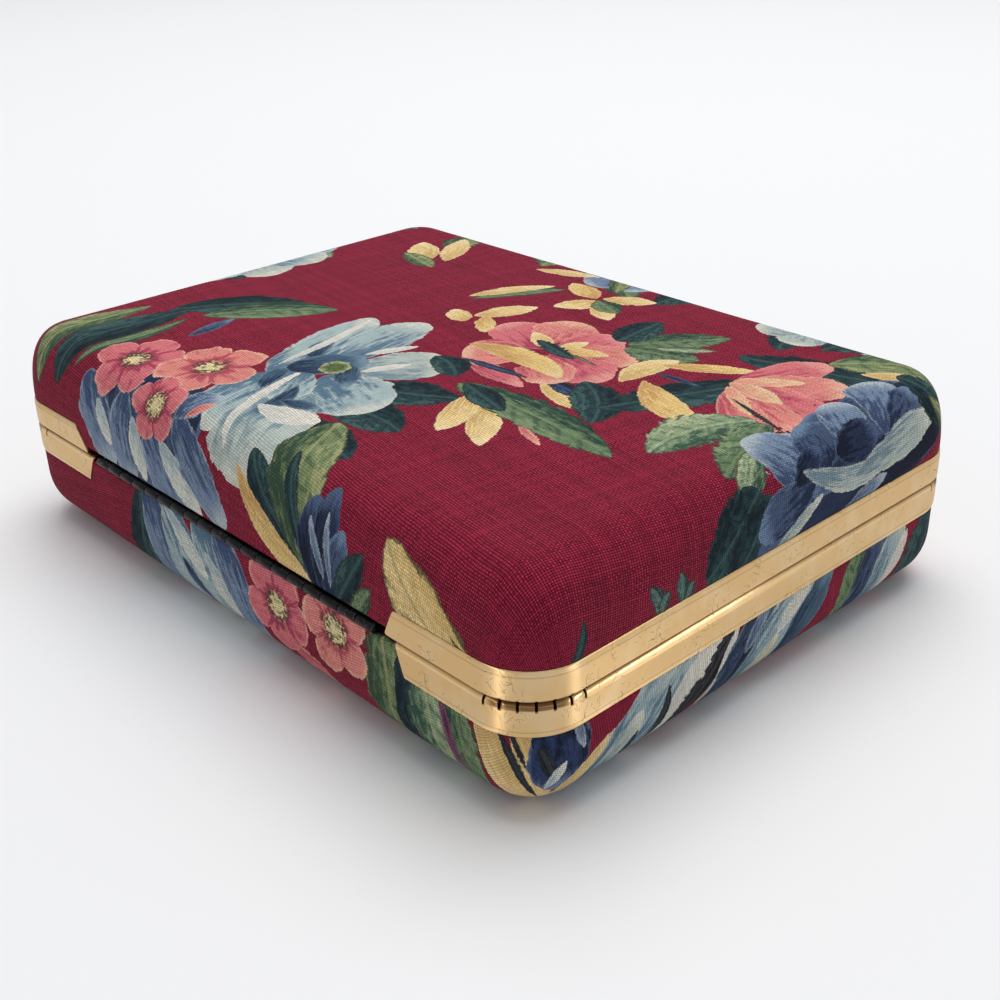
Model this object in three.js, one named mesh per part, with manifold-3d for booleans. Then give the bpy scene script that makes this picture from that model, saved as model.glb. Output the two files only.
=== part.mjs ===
// A hard clamshell jewelry case covered with printed cotton and edged with two gold bands.
// Millimetres, +Z up. The origin is the middle of the flat underside. The long side runs along X,
// the clasp is at -Y and the hinge at +Y.
import * as THREE from "three";
import { mergeVertices } from "three/addons/utils/BufferGeometryUtils.js";
import Module from "manifold-3d";

// The closed case, measured over the gold bands
const caseLength = 178;
const caseWidth = 131;
const caseHeight = 49.6;
const partingHeight = 25.3;
const cornerRadius = 12.5;

// The covered shells
const shellWall = 2.2;
// A rounding's rise is a share of its shell's height.
const baseEdge = { inset: 11.6, rise: 0.49, fullness: 0.95, steps: 6 };
const lidEdge = { inset: 11.7, rise: 0.779, fullness: 0.74, steps: 8 };
const lidCrown = 1.2;
const crownRings = [0.72, 0.4]; // shares of the way out from the middle of the lid
const cornerSteps = 8;
const smallestCorner = 0.5;

// The gold frames: a channel over each shell's rim
const clearance = 0.3;
const frameProud = 0.3; // how far the band stands out from the cloth
const bandHeights = { base: 6.8, lid: 5.95 };
const bandThickness = 0.5;
const bandBevel = 0.25;
const frameGap = 0.3; // between the two frames when the case is shut
const webThickness = 0.8;
const beadRadii = { base: 1.1, lid: 0.3 };
const beadSteps = 3;
const legThickness = 0.5;
const legDepth = 4;

// How far from the middle each band ends, at the parting line and at its outer edge
const bandEnds = {
  base: { left: { inner: 55.3, outer: 57.6 }, right: { inner: 52.5, outer: 56.1 } },
  lid: { left: { inner: 52.4, outer: 55.2 }, right: { inner: 54.3, outer: 59.1 } },
};

// The relief notches that let the frame's web bend round a corner, in degrees into the corner
const notchCount = 7;
const notchMiddle = 51;
const notchStep = 14.4;
const notchWidth = 0.45;
const notchDepths = { base: 1.8, lid: 0.35 };

// The piano hinge
const knucklePitch = 5.25;
const knuckleCount = 19;
const knuckleGap = 0.2;
const knuckleRadius = 0.95;
const knuckleSides = 12;
const boreRadius = 0.52;
const pinRadius = 0.44;
const pinInset = 0.2; // the hinge line, measured in from the band's face
const hingeShift = -0.2; // the hinge sits a little off the middle
const leafThickness = 0.6;
const leafDepth = 8;
const tabInset = 0.1; // how much narrower than its knuckle a leaf's tab is, on each side

// The clasp plate on the front
const claspWidth = 22;
const claspHeight = 10;
const claspThickness = 1.4;
const claspCorner = 2.5;
const claspBevel = 0.4;
const claspDrop = 4.4; // how far it hangs below the parting line
const claspSteps = 3;

// Worked out from the sizes above
const clothInset = frameProud;
const innerInset = clothInset + shellWall;
const legInset = innerInset + clearance;
const webHeight = frameGap / 2 + webThickness; // from the parting line to the far side of the web
const rimHeight = webHeight + clearance; // from the parting line to each shell's rim
const hingeLength = knucklePitch * knuckleCount;
const hingeY = caseWidth / 2 - pinInset;
const hingeStart = hingeShift - hingeLength / 2;
const leafFar = legInset + leafThickness;

const cloth = new THREE.MeshStandardMaterial({ color: 0x74203a, roughness: 0.9, metalness: 0 });
const clothLid = new THREE.MeshStandardMaterial({ color: 0x7e2440, roughness: 0.9, metalness: 0 });
const gold = new THREE.MeshStandardMaterial({ color: 0xdab88c, roughness: 0.35, metalness: 0.9 });
const darkMetal = new THREE.MeshStandardMaterial({ color: 0x1c1a1c, roughness: 0.5, metalness: 0.6 });

const wasm = await Module();
wasm.setup();

// A closed geometry as a manifold solid.
function toSolid(geometry) {
  const bare = geometry.clone();
  bare.deleteAttribute("normal");
  bare.deleteAttribute("uv");
  const merged = mergeVertices(bare, 1e-4);
  const mesh = new wasm.Mesh({
    numProp: 3,
    vertProperties: new Float32Array(merged.attributes.position.array),
    triVerts: new Uint32Array(merged.index.array),
  });
  return new wasm.Manifold(mesh);
}

// A manifold solid as a three.js geometry.
function toGeometry(solid) {
  const mesh = solid.getMesh();
  const geometry = new THREE.BufferGeometry();
  geometry.setAttribute("position", new THREE.BufferAttribute(mesh.vertProperties, 3));
  geometry.setIndex(new THREE.BufferAttribute(mesh.triVerts, 1));
  geometry.computeVertexNormals();
  return geometry;
}

// Points and triangles as a geometry. With flip set, every face turns round.
function meshGeometry(points, triangles, flip) {
  const geometry = new THREE.BufferGeometry();
  geometry.setAttribute("position", new THREE.Float32BufferAttribute(points.flat(), 3));
  const faces = flip ? triangles.map(([a, b, c]) => [a, c, b]) : triangles;
  geometry.setIndex(faces.flat());
  return geometry;
}

// The middles of the four corner arcs, this far in from the bands' outline, counterclockwise from
// above, from the back left corner.
function cornerMiddles(inward) {
  const x = caseLength / 2 - inward;
  const y = caseWidth / 2 - inward;
  return [
    { x: -x, y },
    { x: -x, y: -y },
    { x, y: -y },
    { x, y },
  ];
}

// The rounded rectangle that lies this far inside the bands' outline, in the same order.
function outline(inset) {
  const radius = Math.max(cornerRadius - inset, smallestCorner);
  return cornerMiddles(inset + radius).flatMap((corner, quarter) =>
    Array.from({ length: cornerSteps + 1 }, (_, step) => {
      const angle = (Math.PI / 2) * (1 + quarter + step / cornerSteps);
      return [corner.x + radius * Math.cos(angle), corner.y + radius * Math.sin(angle)];
    }),
  );
}

// The rounding of a shell's edge: rows of inset and height from the shell's far face to its side.
function edgeRows(edge, rise, sideInset, farHeight, wallOff) {
  return Array.from({ length: edge.steps + 1 }, (_, step) => {
    const angle = (Math.PI / 2) * (step / edge.steps);
    const up = Math.sin(angle) ** edge.fullness;
    const out = Math.max(Math.cos(angle), 0) ** edge.fullness;
    return {
      inset: sideInset + (edge.inset - wallOff) * (1 - up),
      height: farHeight - (rise - wallOff) * (1 - out),
    };
  });
}

// One shell: a tray of rounded rectangular sections. Heights are counted from the parting line to
// the far face, and side is -1 for the base and 1 for the lid.
function shellSolid(side, depth, edge, crown) {
  const rings = [];
  const addFace = (sideInset, farHeight, wallOff, inward) => {
    const rows = edgeRows(edge, edge.rise * (depth - crown), sideInset, farHeight, wallOff);
    const flat = outline(rows[0].inset);
    const face = [{ points: [[0, 0]], height: farHeight + crown }];
    for (const share of [...crownRings].reverse()) {
      const points = flat.map(([x, y]) => [x * share, y * share]);
      face.push({ points, height: farHeight + crown * (1 - share * share) });
    }
    for (const row of rows) face.push({ points: outline(row.inset), height: row.height });
    face.push({ points: outline(sideInset), height: rimHeight });
    rings.push(...(inward ? face.reverse() : face));
  };
  addFace(clothInset, depth - crown, 0, false);
  addFace(innerInset, depth - crown - shellWall, shellWall, true);

  const count = outline(0).length;
  const points = [];
  const starts = [];
  for (const ring of rings) {
    starts.push(points.length);
    for (const [x, y] of ring.points) points.push([x, y, partingHeight + side * ring.height]);
  }
  const triangles = [];
  for (let r = 0; r + 1 < rings.length; r += 1) {
    for (let i = 0; i < count; i += 1) {
      const j = (i + 1) % count;
      const [a, b] = [starts[r], starts[r + 1]];
      if (rings[r].points.length === 1) triangles.push([a, b + i, b + j]);
      else if (rings[r + 1].points.length === 1) triangles.push([a + i, b, a + j]);
      else triangles.push([a + i, b + i, b + j], [a + i, b + j, a + j]);
    }
  }
  return toSolid(meshGeometry(points, triangles, side < 0));
}

// From the parting line to a band's outer edge.
function bandFar(name) {
  return frameGap / 2 + bandHeights[name];
}

// How far from the middle a band ends at this distance from the parting line.
function bandEnd(name, hand, height, extra) {
  const end = bandEnds[name][hand];
  return end.inner + ((end.outer - end.inner) * Math.max(height, 0)) / bandFar(name) - extra;
}

// A section of inset and height, swept from the hinge round three sides of the case and back.
function sweepSolid(name, side, section, extra) {
  const contour = section.map(({ inset, height }) => new THREE.Vector2(inset, height));
  const rows = THREE.ShapeUtils.isClockWise(contour) ? [...contour].reverse() : contour;
  const lines = rows.map(({ x: inset, y: height }) => {
    const y = caseWidth / 2 - inset;
    const z = partingHeight + side * height;
    return [
      [-bandEnd(name, "left", height, extra), y, z],
      ...outline(inset).map(([px, py]) => [px, py, z]),
      [bandEnd(name, "right", height, extra), y, z],
    ];
  });
  const stations = lines[0].length;
  const at = (line, station) => line * stations + station;
  const triangles = [];
  for (let line = 0; line < lines.length; line += 1) {
    const next = (line + 1) % lines.length;
    for (let s = 0; s + 1 < stations; s += 1) {
      triangles.push([at(line, s), at(next, s), at(next, s + 1)]);
      triangles.push([at(line, s), at(next, s + 1), at(line, s + 1)]);
    }
  }
  for (const [a, b, c] of THREE.ShapeUtils.triangulateShape(rows, [])) {
    const turned = THREE.ShapeUtils.isClockWise([rows[a], rows[b], rows[c]]);
    const [p, q, r] = turned ? [a, c, b] : [a, b, c];
    triangles.push([at(p, 0), at(r, 0), at(q, 0)]);
    triangles.push([at(p, stations - 1), at(q, stations - 1), at(r, stations - 1)]);
  }
  return toSolid(meshGeometry(lines.flat(), triangles, side < 0));
}

// The channel's section: outer band, web with a rounded bead at the parting line, inner leg.
function frameSection(name) {
  const top = frameGap / 2;
  const far = bandFar(name);
  const beadRadius = beadRadii[name];
  const bead = Array.from({ length: beadSteps + 1 }, (_, step) => {
    const angle = (Math.PI / 2) * (step / beadSteps);
    return {
      inset: beadRadius * (1 - Math.cos(angle)),
      height: top + beadRadius * (1 - Math.sin(angle)),
    };
  });
  return [
    { inset: bandBevel, height: far },
    { inset: 0, height: far - bandBevel },
    ...bead,
    { inset: legInset + legThickness, height: top },
    { inset: legInset + legThickness, height: top + legDepth },
    { inset: legInset, height: top + legDepth },
    { inset: legInset, height: webHeight },
    { inset: bandThickness, height: webHeight },
    { inset: bandThickness, height: far },
  ];
}

// The step in the shell's rim that the band lies in.
function rebateSection(name) {
  const far = bandFar(name) + clearance;
  const inner = bandThickness + clearance;
  const outer = -clearance;
  return [
    { inset: outer, height: far },
    { inset: outer, height: 0 },
    { inset: inner, height: 0 },
    { inset: inner, height: far },
  ];
}

// One frame, with slots cut through its web and bead all round each corner.
function notchedFrame(name, side) {
  let solid = sweepSolid(name, side, frameSection(name), 0);
  const outer = cornerRadius + clearance;
  const inner = cornerRadius - legInset - legThickness - clearance;
  for (const [quarter, corner] of cornerMiddles(cornerRadius).entries()) {
    for (let k = 0; k < notchCount; k += 1) {
      const into = notchMiddle + notchStep * (k - (notchCount - 1) / 2);
      const angle = THREE.MathUtils.degToRad(90 * (1 + quarter) + into);
      const slot = new THREE.BoxGeometry(outer - inner, notchWidth, 2 * notchDepths[name]);
      slot.translate((outer + inner) / 2, 0, 0);
      slot.rotateZ(angle);
      slot.translate(corner.x, corner.y, partingHeight + (side * frameGap) / 2);
      solid = solid.subtract(toSolid(slot));
    }
  }
  return solid;
}

// A round rod on the hinge line, with its middle at x.
function rodGeometry(radius, length, x) {
  const rod = new THREE.CylinderGeometry(radius, radius, length, knuckleSides);
  rod.rotateZ(-Math.PI / 2);
  rod.translate(x, hingeY, partingHeight);
  return rod;
}

// One knuckle: a tube along X from start, as a turned ring.
function knuckleSolid(start, length) {
  const profile = [
    new THREE.Vector2(boreRadius, 0),
    new THREE.Vector2(knuckleRadius, 0),
    new THREE.Vector2(knuckleRadius, length),
    new THREE.Vector2(boreRadius, length),
    new THREE.Vector2(boreRadius, 0),
  ];
  const ring = new THREE.LatheGeometry(profile, knuckleSides);
  ring.rotateZ(-Math.PI / 2);
  ring.translate(start, hingeY, partingHeight);
  return toSolid(ring);
}

// A box between two corners, so that boxes with a shared plane meet exactly.
function boxSolid([x0, y0, z0], [x1, y1, z1]) {
  const box = new THREE.BoxGeometry(1, 1, 1);
  const { position } = box.attributes;
  for (let i = 0; i < position.count; i += 1) {
    position.setXYZ(
      i,
      position.getX(i) < 0 ? x0 : x1,
      position.getY(i) < 0 ? y0 : y1,
      position.getZ(i) < 0 ? Math.min(z0, z1) : Math.max(z0, z1),
    );
  }
  return toSolid(box);
}

// One hinge leaf: a plate on the inside of the back wall, a strip through the gap between the
// shells, and every other knuckle.
function leafSolid(side, first) {
  const z = (height) => partingHeight + side * height;
  const nearHeight = knuckleRadius - leafThickness;
  const plateY = caseWidth / 2 - leafFar;
  const stripY = hingeY - knuckleRadius - knuckleGap;
  const end = hingeStart + hingeLength;
  const corner = [hingeStart, plateY, z(nearHeight)];
  const plate = boxSolid(corner, [end, plateY + leafThickness, z(leafDepth)]);
  let solid = plate.add(boxSolid(corner, [end, stripY, z(knuckleRadius)]));
  const tabFar = z(knuckleRadius * Math.cos(Math.PI / knuckleSides));
  for (let k = first; k < knuckleCount; k += 2) {
    const x0 = hingeStart + knucklePitch * k + knuckleGap / 2;
    const x1 = x0 + knucklePitch - knuckleGap;
    const tab = boxSolid(
      [x0 + tabInset, plateY, z(nearHeight)],
      [x1 - tabInset, hingeY, tabFar],
    );
    const hollow = rodGeometry((boreRadius + knuckleRadius) / 2, 2 * knucklePitch, (x0 + x1) / 2);
    solid = solid.add(tab.subtract(toSolid(hollow))).add(knuckleSolid(x0, x1 - x0));
  }
  return solid;
}

// The clasp: a plate with round corners and a bevelled rim, over both bands on the front.
function claspGeometry() {
  const w = claspWidth / 2 - claspBevel;
  const h = claspHeight / 2 - claspBevel;
  const r = claspCorner - claspBevel;
  const plate = new THREE.Shape();
  plate.absarc(w - r, h - r, r, 0, Math.PI / 2);
  plate.absarc(-w + r, h - r, r, Math.PI / 2, Math.PI);
  plate.absarc(-w + r, -h + r, r, Math.PI, Math.PI * 1.5);
  plate.absarc(w - r, -h + r, r, Math.PI * 1.5, Math.PI * 2);
  const geometry = new THREE.ExtrudeGeometry(plate, {
    depth: claspThickness - 2 * claspBevel,
    bevelThickness: claspBevel,
    bevelSize: claspBevel,
    bevelSegments: 1,
    curveSegments: claspSteps,
  });
  geometry.rotateX(Math.PI / 2);
  const backY = -caseWidth / 2 - clearance;
  geometry.translate(0, backY - claspBevel, partingHeight - claspDrop + claspHeight / 2);
  return geometry;
}

const group = new THREE.Group();

function addPiece(name, geometry, material) {
  const mesh = new THREE.Mesh(geometry, material);
  mesh.name = name;
  group.add(mesh);
}

const baseShell = shellSolid(-1, partingHeight, baseEdge, 0);
const lidShell = shellSolid(1, caseHeight - partingHeight, lidEdge, lidCrown);
const baseRebate = sweepSolid("base", -1, rebateSection("base"), clearance);
const lidRebate = sweepSolid("lid", 1, rebateSection("lid"), clearance);

addPiece("base_shell", toGeometry(baseShell.subtract(baseRebate)), cloth);
addPiece("lid_shell", toGeometry(lidShell.subtract(lidRebate)), clothLid);
addPiece("base_frame", toGeometry(notchedFrame("base", -1)), gold);
addPiece("lid_frame", toGeometry(notchedFrame("lid", 1)), gold);
addPiece("base_leaf", toGeometry(leafSolid(-1, 0)), darkMetal);
addPiece("lid_leaf", toGeometry(leafSolid(1, 1)), darkMetal);
addPiece("hinge_pin", rodGeometry(pinRadius, hingeLength - knuckleGap, hingeShift), darkMetal);
addPiece("front_clasp", claspGeometry(), gold);

export default group;
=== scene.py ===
import math
import random

import bmesh
import bpy
import numpy as np
from mathutils import Matrix, Vector


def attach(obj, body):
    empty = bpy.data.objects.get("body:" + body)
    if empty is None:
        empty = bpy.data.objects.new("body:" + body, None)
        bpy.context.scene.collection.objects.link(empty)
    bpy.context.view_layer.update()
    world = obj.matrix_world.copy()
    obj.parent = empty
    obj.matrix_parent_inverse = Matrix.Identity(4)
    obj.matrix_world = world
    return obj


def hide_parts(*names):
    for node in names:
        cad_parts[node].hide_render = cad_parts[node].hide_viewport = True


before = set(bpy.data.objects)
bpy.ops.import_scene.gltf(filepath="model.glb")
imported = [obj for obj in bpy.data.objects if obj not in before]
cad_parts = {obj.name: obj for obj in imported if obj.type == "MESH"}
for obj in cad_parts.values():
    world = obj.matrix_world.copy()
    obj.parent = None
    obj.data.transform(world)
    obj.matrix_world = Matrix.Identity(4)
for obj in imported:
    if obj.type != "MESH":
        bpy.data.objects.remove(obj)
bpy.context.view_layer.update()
mm = 0.001
print("frame loaded")

# The camera stands off the back left corner, a hand's height above the case.
view = {
    "azimuth": 227.3552,
    "elevation": 27.1639,
    "roll": -1.3344,
    "distance": 0.253088,
    "target": (-0.0506206, 0.0350996, 0.0403595),
    "lens": 48.9666,
    "sensor": 36.0,
    "nearest": 0.01,
}


def newObject(name, data):
    made = bpy.data.objects.new(name, data)
    bpy.context.scene.collection.objects.link(made)
    return made


def buildCamera():
    azimuth = math.radians(view["azimuth"])
    elevation = math.radians(view["elevation"])
    roll = math.radians(view["roll"])
    right = Vector((math.cos(azimuth), math.sin(azimuth), 0))
    back = Vector((math.sin(azimuth) * math.cos(elevation), -math.cos(azimuth) * math.cos(elevation),
                   math.sin(elevation)))
    up = back.cross(right)
    rolledRight = right * math.cos(roll) + up * math.sin(roll)
    rolledUp = up * math.cos(roll) - right * math.sin(roll)
    camera = newObject("camera", bpy.data.cameras.new("camera"))
    camera.data.lens = view["lens"]
    camera.data.sensor_width = view["sensor"]
    camera.data.clip_start = view["nearest"]
    camera.matrix_world = Matrix.Translation(Vector(view["target"]) + back * view["distance"]) @ Matrix(
        (rolledRight, rolledUp, back)).transposed().to_4x4()
    bpy.context.scene.camera = camera


buildCamera()
print("camera placed")

# Sizes in millimetres that more than one piece shares. They follow the CAD.
case = {
    "length": 178.0,
    "width": 131.0,
    "height": 49.6,
    "parting": 25.3,
    "corner": 12.5,
    "cloth": 0.3,
    "wall": 2.2,
    "rim": 1.25,
    "underBand": 0.86,
    "frameGap": 0.3,
    "sideCells": (96, 66),
    "cornerCells": 16,
}
bandEnds = {
    "base": {"left": {"inner": 55.3, "outer": 57.6}, "right": {"inner": 52.5, "outer": 56.1}},
    "lid": {"left": {"inner": 52.4, "outer": 55.2}, "right": {"inner": 54.3, "outer": 59.1}},
}
bandHeights = {"base": 6.8, "lid": 5.95}
straightEnds = (case["length"] / 2 - case["corner"], case["width"] / 2 - case["corner"])
caseCorners = [(x * straightEnds[0], y * straightEnds[1]) for x, y in ((-1, 1), (-1, -1), (1, -1), (1, 1))]
cornerArc = case["corner"] * math.pi / 2


# Shader building. A wire is a socket's value that sums can use.
class Wire:
    def __init__(self, socket):
        self.socket, self.tree = socket, socket.id_data

    def __add__(self, other):
        return calc("ADD", self, other)

    def __sub__(self, other):
        return calc("SUBTRACT", self, other)

    def __rsub__(self, other):
        return calc("SUBTRACT", other, self)

    def __mul__(self, other):
        return calc("MULTIPLY", self, other)

    def __truediv__(self, other):
        return calc("DIVIDE", self, other)

    def __pow__(self, power):
        return calc("POWER", self, power)

    def __abs__(self):
        return calc("ABSOLUTE", self)


def treeOf(values):
    return next(value.tree for value in values if isinstance(value, Wire))


def feed(socket, value):
    if isinstance(value, Wire):
        value.tree.links.new(value.socket, socket)
    else:
        socket.default_value = value


def feedAll(made, inputs):
    for name, value in inputs.items():
        feed(made.inputs[name.replace("_", " ")], value)


def calc(operation, *values, clamp=False, kind="ShaderNodeMath"):
    made = treeOf(values).nodes.new(kind)
    made.operation = operation
    if clamp:
        made.use_clamp = True
    for socket, value in zip(made.inputs, values):
        feed(socket, value)
    return Wire(made.outputs[0])


def scaled(value, by, plus):
    return calc("MULTIPLY_ADD", value, by, plus)


def node(kind, output=0, settings=None, tree=None, **inputs):
    made = (tree or treeOf(inputs.values())).nodes.new(kind)
    for name, value in (settings or {}).items():
        setattr(made, name, value)
    feedAll(made, inputs)
    return Wire(made.outputs[output])


def sibling(wire, output):
    return Wire(wire.socket.node.outputs[output])


def between(value, low, high, toLow=0.0, toHigh=1.0):
    return node("ShaderNodeMapRange", settings={"interpolation_type": "SMOOTHSTEP"}, Value=value,
                From_Min=low, From_Max=high, To_Min=toLow, To_Max=toHigh)


def mix(factor, a, b):
    return node("ShaderNodeMix", Factor=factor, A=a, B=b)


def blendColour(factor, a, b, kind="MIX"):
    made = treeOf((factor, a, b)).nodes.new("ShaderNodeMix")
    made.data_type = "RGBA"
    made.blend_type = kind
    for index, value in ((0, factor), (6, a), (7, b)):
        feed(made.inputs[index], value)
    return Wire(made.outputs[2])


def join(x, y=0.0, z=0.0):
    return node("ShaderNodeCombineXYZ", X=x, Y=y, Z=z)


def split(vector):
    return [Wire(socket) for socket in node("ShaderNodeSeparateXYZ", Vector=vector).socket.node.outputs]


def noise(place, scale, detail=2.0, roughness=0.5):
    return node("ShaderNodeTexNoise", Vector=place, Scale=scale, Detail=detail, Roughness=roughness)


def whiteNoise(dimensions, **inputs):
    return node("ShaderNodeTexWhiteNoise", settings={"noise_dimensions": dimensions}, **inputs)


def bump(height, strength, distance):
    return node("ShaderNodeBump", Height=height, Strength=strength, Distance=distance * mm)


def attribute(tree, name, output="Vector"):
    return node("ShaderNodeAttribute", output, {"attribute_name": name}, tree)


def millimetrePlace(tree):
    return node("ShaderNodeVectorMath", settings={"operation": "SCALE"},
                Vector=node("ShaderNodeTexCoord", "Object", tree=tree), Scale=1000.0)


# Builds a shared group from a function that turns its input wires into its outputs.
def group(build, inputs, outputs):
    tree = bpy.data.node_groups.new(build.__name__, "ShaderNodeTree")
    for sockets, way in ((inputs, "INPUT"), (outputs, "OUTPUT")):
        for title, kind in sockets.items():
            tree.interface.new_socket(title, in_out=way, socket_type="NodeSocket" + kind)
    given = tree.nodes.new("NodeGroupInput").outputs
    results = build(*(Wire(given[title]) for title in inputs))
    out = tree.nodes.new("NodeGroupOutput").inputs
    for title, value in zip(outputs, results):
        feed(out[title], value)
    return tree


def use(shared, **inputs):
    made = treeOf(inputs.values()).nodes.new("ShaderNodeGroup")
    made.node_tree = shared
    feedAll(made, inputs)
    return {socket.name: Wire(socket) for socket in made.outputs}


def newMaterial(name):
    material = bpy.data.materials.new(name)
    material.use_nodes = True
    return material, material.node_tree, material.node_tree.nodes["Principled BSDF"]


# An 8 bit screen colour as a shader colour.
def paint(colour):
    shares = [value / 255 for value in colour]
    return (*(share / 12.92 if share <= 0.04045 else ((share + 0.055) / 1.055) ** 2.4 for share in shares), 1)


# Plain weave from a place on the cloth in millimetres. Pitch is (warp, weft, turn of the grain).
weaveLook = {"sway": 1.6, "swayScale": 0.16, "round": 0.8, "flat": 0.3, "threadShare": 0.5, "cellShare": 0.36,
             "overShare": 0.22}


def plainWeave(place, pitch):
    sway = scaled(noise(place, weaveLook["swayScale"]), weaveLook["sway"], -weaveLook["sway"] / 2)
    pitchX, pitchY, grain = split(pitch)
    turned = node("ShaderNodeVectorRotate", settings={"rotation_type": "Z_AXIS"}, Vector=place, Angle=grain)
    x, y, _ = split(turned)
    x, y = x / pitchX + sway, y / pitchY - sway
    warp, weft = calc("FLOOR", x), calc("FLOOR", y)
    over = calc("PINGPONG", warp + weft, 1.0)
    humpX, humpY = [abs(calc("SINE", across * math.pi)) for across in (x, y)]
    warpTop = humpX ** weaveLook["round"] * humpY ** weaveLook["flat"]
    weftTop = humpY ** weaveLook["round"] * humpX ** weaveLook["flat"]
    thread = mix(over, whiteNoise("1D", W=warp), whiteNoise("1D", W=weft + 0.5))
    cell = whiteNoise("2D", Vector=join(warp, weft))
    tint = scaled(thread, weaveLook["threadShare"], cell * weaveLook["cellShare"])
    return mix(over, warpTop, weftTop), scaled(over, weaveLook["overShare"], tint), cell - 0.5


# How the print's strokes look, in millimetres where they are lengths.
strokes = {
    "edge": (-0.1, 0.22),
    "threadStep": 0.28,
    "teeth": 9.0,
    "toothDepth": 0.26,
    "veins": 7.0,
    "veinShade": 0.55,
    "leafOutline": 0.75,
    "outlineColour": (0.012, 0.02, 0.02, 1),
    "stamenColour": (0.07, 0.065, 0.04, 1),
}


# A printed leaf, petal, stem or bud. Place is (along, across, seed + half width in mm / 100).
# Form is (swell, fullness, style): style 0 is a petal, 1 a leaf, up to 2 a toothed leaf.
def printLeaf(place, form, body, shade, edge, jitter):
    u, v, seed = split(place)
    swell, full, style = split(form)
    half = calc("FRACT", seed) * 100.0
    away = abs(v)
    leafy = calc("MINIMUM", style, 1.0)
    toothed = calc("SUBTRACT", style, 1.0, clamp=True)
    along = node("ShaderNodeClamp", Value=u, Min=0.0, Max=1.0)
    wide = calc("MAXIMUM", calc("SINE", along ** swell * math.pi), 0.0) ** full
    teeth = calc("FRACT", scaled(away, -0.5, u * strokes["teeth"]))
    wide = wide * (1.0 - teeth * toothed * strokes["toothDepth"])
    wide = wide * scaled(noise(join(u * 2.2, v * 1.6, seed), 1.7), 0.55, 0.72)
    deep = scaled(jitter, strokes["threadStep"], (wide - away) * half)
    mask = between(deep, *strokes["edge"]) * (calc("GREATER_THAN", u, 0.0) * calc("LESS_THAN", u, 1.0))
    streak = noise(join(u * 1.6, v * 3.0, seed), 2.0, 3.0, 0.58)
    dab = noise(join(u * 5.0, v * 3.0, seed + 3.3), 1.8, 3.0, 0.6)
    lean = scaled(v, -0.14, scaled((1.0 - along) ** 2.5, 0.42, streak))
    petalShade = between(scaled(jitter, 0.1, scaled(dab, 0.55, lean)), 0.76, 1.04)
    vein = calc("FRACT", scaled(away, -1.1, u * strokes["veins"]))
    veinLine = between(abs(vein - 0.5), 0.2, 0.06)
    leafTone = scaled(v, 0.3, scaled(jitter, 0.06, dab))
    leafShade = calc("MAXIMUM", between(leafTone, 0.46, 0.72), veinLine * strokes["veinShade"])
    colour = blendColour(mix(leafy, petalShade, leafShade), body, shade)
    rim = between(scaled(streak, 2.6, deep), 2.3, 1.2)
    tip = between(along + streak * 0.5, 0.98, 1.2)
    petalEdge = calc("MAXIMUM", rim * 0.55, tip * 0.8)
    midrib = between(away * half, 0.6, 0.2)
    leafEdge = calc("MAXIMUM", midrib * 0.4, rim * 0.45)
    leafEdge = calc("MAXIMUM", leafEdge, between(leafTone, 0.42, 0.24, 0.0, 0.6))
    colour = blendColour(mix(leafy, petalEdge, leafEdge), colour, edge)
    outline = between(scaled(streak, -0.8, deep), 0.35, -0.1) * leafy
    return blendColour(outline * strokes["leafOutline"], colour, strokes["outlineColour"]), mask


# A printed blossom seen from the front. Place is (x, y, seed + radius in mm / 100) in radii.
# Form is (petals, depth of the notches between them, radius of the heart).
def printBlossom(place, form, body, shade, edge, heart, jitter):
    x, y, seed = split(place)
    petals, notch, heartRadius = split(form)
    size = calc("FRACT", seed) * 100.0
    reach = calc("SQRT", scaled(x, x, y * y))
    lobe = abs(calc("COSINE", (calc("ARCTAN2", y, x) + seed) * petals * 0.5))
    border = 1.0 - notch * (1.0 - lobe ** 0.5)
    border = border * scaled(noise(join(x, y, seed), 2.2), 0.34, 0.83)
    deep = scaled(jitter, strokes["threadStep"], (border - reach) * size)
    rays = join(x / (reach + 0.12), y / (reach + 0.12), scaled(reach, 0.5, seed))
    streak = noise(rays, 4.0, 3.0, 0.6)
    dark = scaled(between(reach, 0.66, 0.2), 0.36, streak) + between(lobe, 0.3, 0.06, 0.0, 0.3)
    colour = blendColour(between(dark, 0.54, 0.76), body, shade)
    colour = blendColour(between(scaled(streak, 2.4, deep), 2.3, 1.3) * 0.85, colour, edge)
    dots = noise(join(x, y, seed), 13.0, 1.0)
    core = between(scaled(dots, 0.3, reach), heartRadius + 0.22, heartRadius + 0.08)
    colour = blendColour(core, colour, heart)
    stamens = between(abs(reach - heartRadius), 0.22, 0.08) * between(dots, 0.48, 0.54)
    return blendColour(stamens * 0.85, colour, strokes["stamenColour"]), between(deep, *strokes["edge"])


weaveGroup = group(plainWeave, {"Place": "Vector", "Pitch": "Vector"},
                   {"Height": "Float", "Tint": "Float", "Jitter": "Float"})
motifInputs = {"Place": "Vector", "Form": "Vector", "Body": "Color", "Shade": "Color", "Edge": "Color"}
motifOutputs = {"Colour": "Color", "Mask": "Float"}
motifGroups = {
    "leaf": group(printLeaf, {**motifInputs, "Jitter": "Float"}, motifOutputs),
    "blossom": group(printBlossom, {**motifInputs, "Heart": "Color", "Jitter": "Float"}, motifOutputs),
}
motifParts = {"leaf": ("Body", "Shade", "Edge"), "blossom": ("Body", "Shade", "Edge", "Heart")}
motifSlots = {"leaf": 5, "blossom": 2}

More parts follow.
